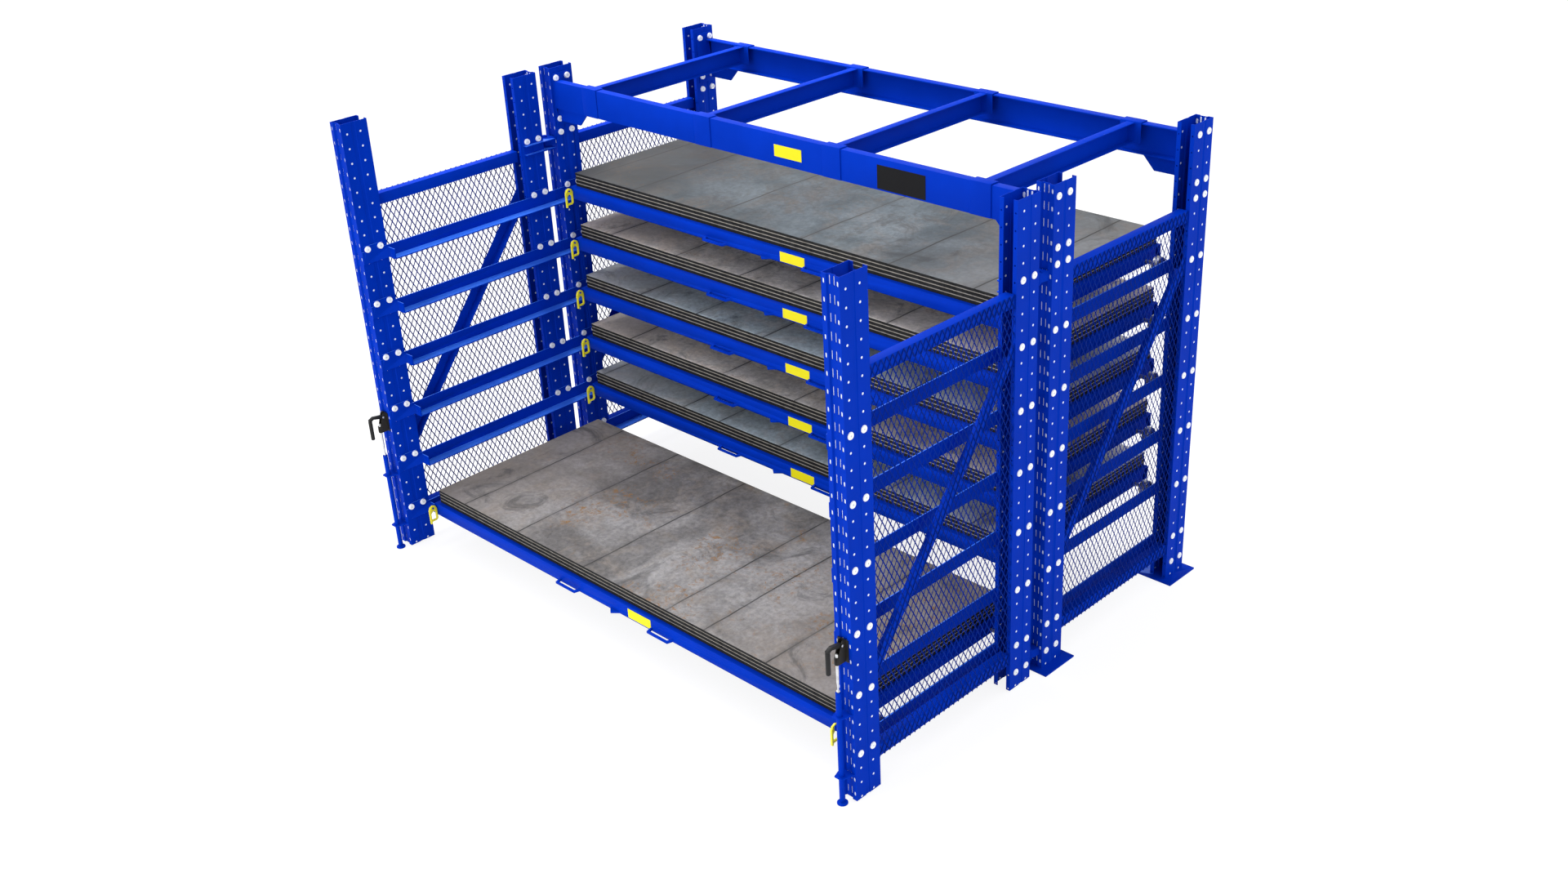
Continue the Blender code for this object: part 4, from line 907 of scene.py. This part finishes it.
def build_bolts():
    """Bolts with washers on both side faces of the uprights, and on the beams' connectors."""
    near, far = SIDE_COLUMNS
    frame_places = []
    for word, side in SIDES:
        for y in (FRAME_FRONT + near, FRAME_FRONT + far, FRAME_BACK - far, FRAME_BACK - near):
            frame_places += bolts_at(side, y, LEVEL_ROWS, RAIL_SEAT)
            frame_places += bolts_at(side, y, UPRIGHT_BOLT_ROWS, 0)
            frame_places += bolts_at(side, y, BEAM_BOLT_ROWS, CONNECTOR_SEAT)
        door_places = []
        for y in (DOOR_FRONT + near, DOOR_FRONT + far, DOOR_BACK - far, DOOR_BACK - near):
            door_places += bolts_at(side, y, LEVEL_ROWS, RAIL_SEAT)
        for y in (DOOR_BACK - far, DOOR_BACK - near):
            door_places += bolts_at(side, y, UPRIGHT_BOLT_ROWS, 0)
        show(f"door_{word}_bolts", bolt_heads(door_places), f"door_{word}")
    show("frame_bolts", bolt_heads(frame_places), "rack_frame")


def build_panels():
    """The fine expanded mesh of each side, on its tie bars and its brace, an angle."""
    bar_outer = OUTER_SIDE - BAR_WALL - MESH_THICKNESS
    bar_inner = bar_outer - BAR_WIDTH
    for node, body, side in (
        ("side_panel_left", "rack_frame", -1), ("side_panel_right", "rack_frame", 1),
        ("door_panel_left", "door_left", -1), ("door_panel_right", "door_right", 1),
    ):
        low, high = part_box(node)
        length, height = high.y - low.y, high.z - low.z
        solid = bmesh.new()
        for base in (low.z, high.z - BAR_HEIGHT):
            top = base + BAR_HEIGHT
            outline = [(bar_inner, base), (bar_outer, base), (bar_outer, top), (bar_inner, top)]
            prism(solid, outline, "Y", low.y, high.y, side)
        lengthened = math.hypot(1, (BRACE_TOP - BRACE_BOTTOM) / length)
        for tall, start, end in (
            (BRACE_WIDTH, bar_outer - BRACE_THICKNESS, bar_outer),
            (BRACE_THICKNESS, bar_outer - BRACE_WIDTH, bar_outer - BRACE_THICKNESS / 2),
        ):
            rise = tall * lengthened
            outline = [(low.y, BRACE_BOTTOM), (high.y, BRACE_TOP), (high.y, BRACE_TOP + rise),
                       (low.y, BRACE_BOTTOM + rise)]
            prism(solid, outline, "X", start, end, side)
        bars = rounded(to_mesh(solid, "bars"), BAR_EDGE)
        bars.materials.append(blue)
        columns = int(length / DIAMOND_WIDTH)
        rows = int(height / DIAMOND_HEIGHT)
        cell_width = (length - STRAND_WIDTH) / columns
        corner = (side * (bar_outer + MESH_THICKNESS / 2), low.y + cell_width / 4 + STRAND_WIDTH / 2, low.z)
        strands = grow(mesh_tree, {
            "Corner": corner, "Columns": columns, "Rows": rows, "Cell width": cell_width,
            "Cell height": height / rows, "Strand width": STRAND_WIDTH, "Strand thickness": STRAND_THICKNESS,
            "Tilt": math.radians(90 + STRAND_TILT)})
        show(node + "_detail", joined([bars, strands]), body, [node])


def build_stacks():
    """The sheets lying in each drawer, one finish for each stack, whose brightness is partly painted light and
    shade.
    """
    finishes = (top_sheet, warm_sheet, cool_sheet, warm_sheet, cool_sheet, weathered_and_shaded_sheet)
    for level in range(1, LEVELS + 1):
        node = f"sheet_stack_{level}"
        low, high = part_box(node)
        sheet = (high.z - low.z - (SHEETS - 1) * STRIP_THICKNESS) / SHEETS
        pitch = sheet + STRIP_THICKNESS
        mesh = grow(stack_tree, {
            "Low": (0.0, (low.y + high.y) / 2, low.z), "Length": high.x - low.x, "Width": high.y - low.y,
            "Sheet": sheet, "Strip": STRIP_THICKNESS, "Recess": STRIP_RECESS, "Count": SHEETS})
        mesh = rounded(mesh, SHEET_EDGE, 1)
        mesh.materials.clear()
        for material in (gap_shade_black, finishes[level - 1], strip_tan):
            mesh.materials.append(material)
        # The top face gets the stack's finish, the strips' sides the tan, and the sheets' sides the black of
        # painted shade
        for face in mesh.polygons:
            height = (face.center.z - low.z) % pitch
            if face.normal.z > HALF_UP and face.center.z > high.z - TOP_BAND:
                face.material_index = 1
            elif abs(face.normal.z) < HALF_UP and height > sheet:
                face.material_index = 2
            else:
                face.material_index = 0
        show(node + "_detail", mesh, f"drawer_{level}", [node])


def build_plate(name, edges, face, body, material):
    """A blank plate that stands on a face: its left, right, bottom and top edges."""
    left, right, low, high = edges
    solid = bmesh.new()
    outline = [(left, low), (right, low), (right, high), (left, high)]
    prism(solid, outline, "Y", face - PLATE_THICKNESS, face)
    show(name, rounded(to_mesh(solid, "plate"), PLATE_EDGE, 1), body, material=material)


def build_plates():
    """Blank plates: a yellow one on each drawer, and a yellow and a black one on the front beam."""
    for level in range(1, LEVELS + 1):
        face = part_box(f"sheet_stack_{level}")[0].y - DRAWER_LIP
        bottom = level_z(level) - DRAWER_PLATE_DROP
        edges = (DRAWER_PLATE_LEFT, DRAWER_PLATE_RIGHT, bottom, bottom + DRAWER_PLATE_HEIGHT)
        build_plate(f"drawer_plate_{level}", edges, face, f"drawer_{level}", label_yellow)
    build_plate("beam_plate_yellow", BEAM_PLATE_YELLOW, BEAM_FACE, "rack_frame", label_yellow)
    build_plate("beam_plate_black", BEAM_PLATE_BLACK, BEAM_FACE, "rack_frame", label_black)


def build_wheels():
    """Turned wheels on their axles, with a rim, a web and a hub."""
    for level in range(1, LEVELS + 1):
        for place in ("front", "rear"):
            node = f"axle_{place}_{level}"
            low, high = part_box(node)
            centre = ((low.y + high.y) / 2, (low.z + high.z) / 2)
            radius = (high.z - low.z) / 2
            outer = high.x
            inner = outer - WHEEL_WIDTH
            hub_start = inner - HUB_LENGTH
            tread = radius - TREAD_CHAMFER
            right = [
                (AXLE_RADIUS, 0.0), (AXLE_RADIUS, hub_start), (HUB_RADIUS, hub_start),
                (HUB_RADIUS, inner + WEB_DIP), (radius - RIM_FOOT, inner + WEB_DIP),
                (radius - RIM_DEPTH, inner), (tread, inner), (radius, inner + TREAD_CHAMFER),
                (radius, outer - TREAD_CHAMFER), (tread, outer), (radius - RIM_DEPTH, outer),
                (radius - RIM_FOOT, outer - WEB_DIP), (HUB_RADIUS, outer - WEB_DIP),
                (HUB_RADIUS, outer), (AXLE_END_RADIUS, outer), (0.0, outer)]
            left = [(size, -x) for size, x in reversed(right)]
            solid = bmesh.new()
            spun(solid, left + right[1:], centre, "X")
            show(node + "_detail", to_mesh(solid, node), node, [node], wheel_steel)


def build_floor_bolts():
    """The floor bolts, with a blue rod and a bright plunger that starts in a ball."""
    for word, side in SIDES:
        node = f"floor_bolt_{word}"
        low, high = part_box(node)
        centre = (MIDDLE, DOOR_FRONT - ROD_SETBACK)
        rod_top = low.z + ROD_LENGTH
        rod = [(radius, low.z + rise) for radius, rise in FOOT_PROFILE]
        rod += [(ROD_RADIUS, rod_top - ROD_CHAMFER), (ROD_RADIUS - ROD_CHAMFER, rod_top), (0, rod_top)]
        plunger = [(0.0, rod_top - ROD_CHAMFER), (BALL_FOOT_RADIUS, rod_top)]
        for index in range(BALL_STEPS + 1):
            angle = math.radians(BALL_START + BALL_SWEEP * index / BALL_STEPS)
            rise = BALL_RISE + BALL_RADIUS * math.sin(angle)
            plunger.append((BALL_RADIUS * math.cos(angle), rod_top + rise))
        plunger += [(radius, rod_top + rise) for radius, rise in PLUNGER_PROFILE]
        plunger += [(PLUNGER_TOP, high.z - PLUNGER_CHAMFER), (PLUNGER_END, high.z), (0.0, high.z)]
        meshes = []
        for profile, material in ((rod, blue), (plunger, bright_steel)):
            solid = bmesh.new()
            spun(solid, profile, centre, "Z", side)
            meshes.append(to_mesh(solid, node))
            meshes[-1].materials.append(material)
        show(node + "_detail", joined(meshes), node, [node])


def build_clamps():
    """The toggle clamps: rounded bodies, levers with a moulded grip, and the bright heads of their pins."""
    near, far = PIN_HEAD
    for word, side in SIDES:
        refined(f"clamp_body_{word}", f"door_{word}", black, CLAMP_EDGE)
        refined(f"clamp_lever_{word}", f"clamp_lever_{word}", grip_black, CLAMP_EDGE)
        solid = bmesh.new()
        for start, end in ((MIDDLE - far, MIDDLE - near), (MIDDLE + near, MIDDLE + far)):
            profile = [(0, start), (PIN_END_RADIUS, start), (PIN_RADIUS, start + PIN_CHAMFER),
                       (PIN_RADIUS, end - PIN_CHAMFER), (PIN_END_RADIUS, end), (0, end)]
            spun(solid, profile, (DOOR_FRONT - PIN_SETBACK, PIN_HEIGHT), "X", side)
        show(f"clamp_pin_{word}", to_mesh(solid, "pin"), f"door_{word}", material=bright_steel)


def build_plain_nodes():
    """What keeps its CAD shape, with rounded edges and its coat."""
    for node in ("top_beam_front", "top_beam_rear", "cross_tie_1", "cross_tie_2", "cross_tie_3", "cross_tie_4"):
        refined(node, "rack_frame", blue, BEAM_EDGE)
    for level in range(1, LEVELS + 1):
        refined(f"drawer_frame_{level}", f"drawer_{level}", blue, 0)
        for word in ("left", "right"):
            refined(f"latch_{word}_{level}", f"latch_{word}_{level}", yellow, LATCH_EDGE)


# Stage, light and camera

def build_floor():
    """A pale matt floor that partly glows where the camera looks at it, so it blends with the backdrop."""
    mesh = bpy.data.meshes.new("floor")
    far = FLOOR_SIZE
    mesh.from_pydata([(-far, -far, 0), (far, -far, 0), (far, far, 0), (-far, far, 0)], [], [(0, 1, 2, 3)])
    floor = add_object("floor", mesh)
    floor.location.z = -FLOOR_DROP
    surface = bpy.data.materials.new("pale_floor")
    surface.use_nodes = True
    tree = surface.node_tree
    shader = tree.nodes["Principled BSDF"]
    shader.inputs["Base Color"].default_value = FLOOR_COLOUR
    shader.inputs["Roughness"].default_value = FLOOR_ROUGHNESS
    glow = put(tree, "ShaderNodeEmission", Color=WHITE, Strength=FLOOR_GLOW)
    rays = put(tree, "ShaderNodeLightPath").outputs
    seen = sums(tree, "MAXIMUM", rays["Is Camera Ray"], rays["Is Glossy Ray"])
    seen = sums(tree, "MAXIMUM", seen, rays["Is Transmission Ray"])
    blend = put(tree, "ShaderNodeMixShader", n0=times(tree, seen, FLOOR_GLOW_SHARE), n1=shader.outputs[0],
                n2=glow.outputs[0])
    tree.links.new(blend.outputs[0], tree.nodes["Material Output"].inputs["Surface"])
    mesh.materials.append(surface)


def build_world():
    """A white backdrop for the camera and in reflections, and soft light from all around."""
    world = bpy.context.scene.world or bpy.data.worlds.new("studio")
    bpy.context.scene.world = world
    world.use_nodes = True
    tree = world.node_tree
    tree.nodes.clear()
    rays = put(tree, "ShaderNodeLightPath").outputs
    seen = sums(tree, "MAXIMUM", rays["Is Camera Ray"], rays["Is Glossy Ray"])
    soft = put(tree, "ShaderNodeBackground", Color=WORLD_COLOUR, Strength=WORLD_LIGHT)
    white = put(tree, "ShaderNodeBackground", Color=WHITE, Strength=1.0)
    both = put(tree, "ShaderNodeMixShader", n0=seen, n1=soft.outputs[0], n2=white.outputs[0])
    tree.links.new(both.outputs[0], put(tree, "ShaderNodeOutputWorld").inputs[0])


def build_lamps():
    """Large soft lamps, each turned to its target."""
    for name, place, target, size, watts in LAMPS:
        light = bpy.data.lights.new(name, "AREA")
        light.energy = watts
        light.size = size
        lamp = add_object(name, light)
        lamp.location = place
        lamp.rotation_euler = (Vector(target) - Vector(place)).to_track_quat("-Z", "Y").to_euler()


def build_camera():
    """The camera where the photograph's was."""
    yaw, pitch, roll = CAMERA_YAW, CAMERA_PITCH, CAMERA_ROLL
    forward = Vector((-math.sin(yaw) * math.cos(pitch), math.cos(yaw) * math.cos(pitch), math.sin(pitch)))
    level = Vector((math.cos(yaw), math.sin(yaw), 0))
    upright = level.cross(forward)
    right = math.cos(roll) * level + math.sin(roll) * upright
    up = math.cos(roll) * upright - math.sin(roll) * level
    data = bpy.data.cameras.new("camera")
    data.sensor_width = SENSOR_WIDTH
    data.lens = SENSOR_WIDTH * FOCAL_PIXELS / PHOTO_WIDTH
    data.clip_end = CLIP_END
    camera = add_object("camera", data)
    turn = Matrix((right, up, -forward)).transposed().to_4x4()
    camera.matrix_world = Matrix.Translation(CAMERA_PLACE) @ turn
    bpy.context.scene.camera = camera


bpy.context.scene.view_settings.view_transform = "Standard"
build_camera()
build_uprights()
build_bolts()
build_panels()
build_stacks()
build_plain_nodes()
build_wheels()
build_floor_bolts()
build_clamps()
build_plates()
build_floor()
build_world()
build_lamps()
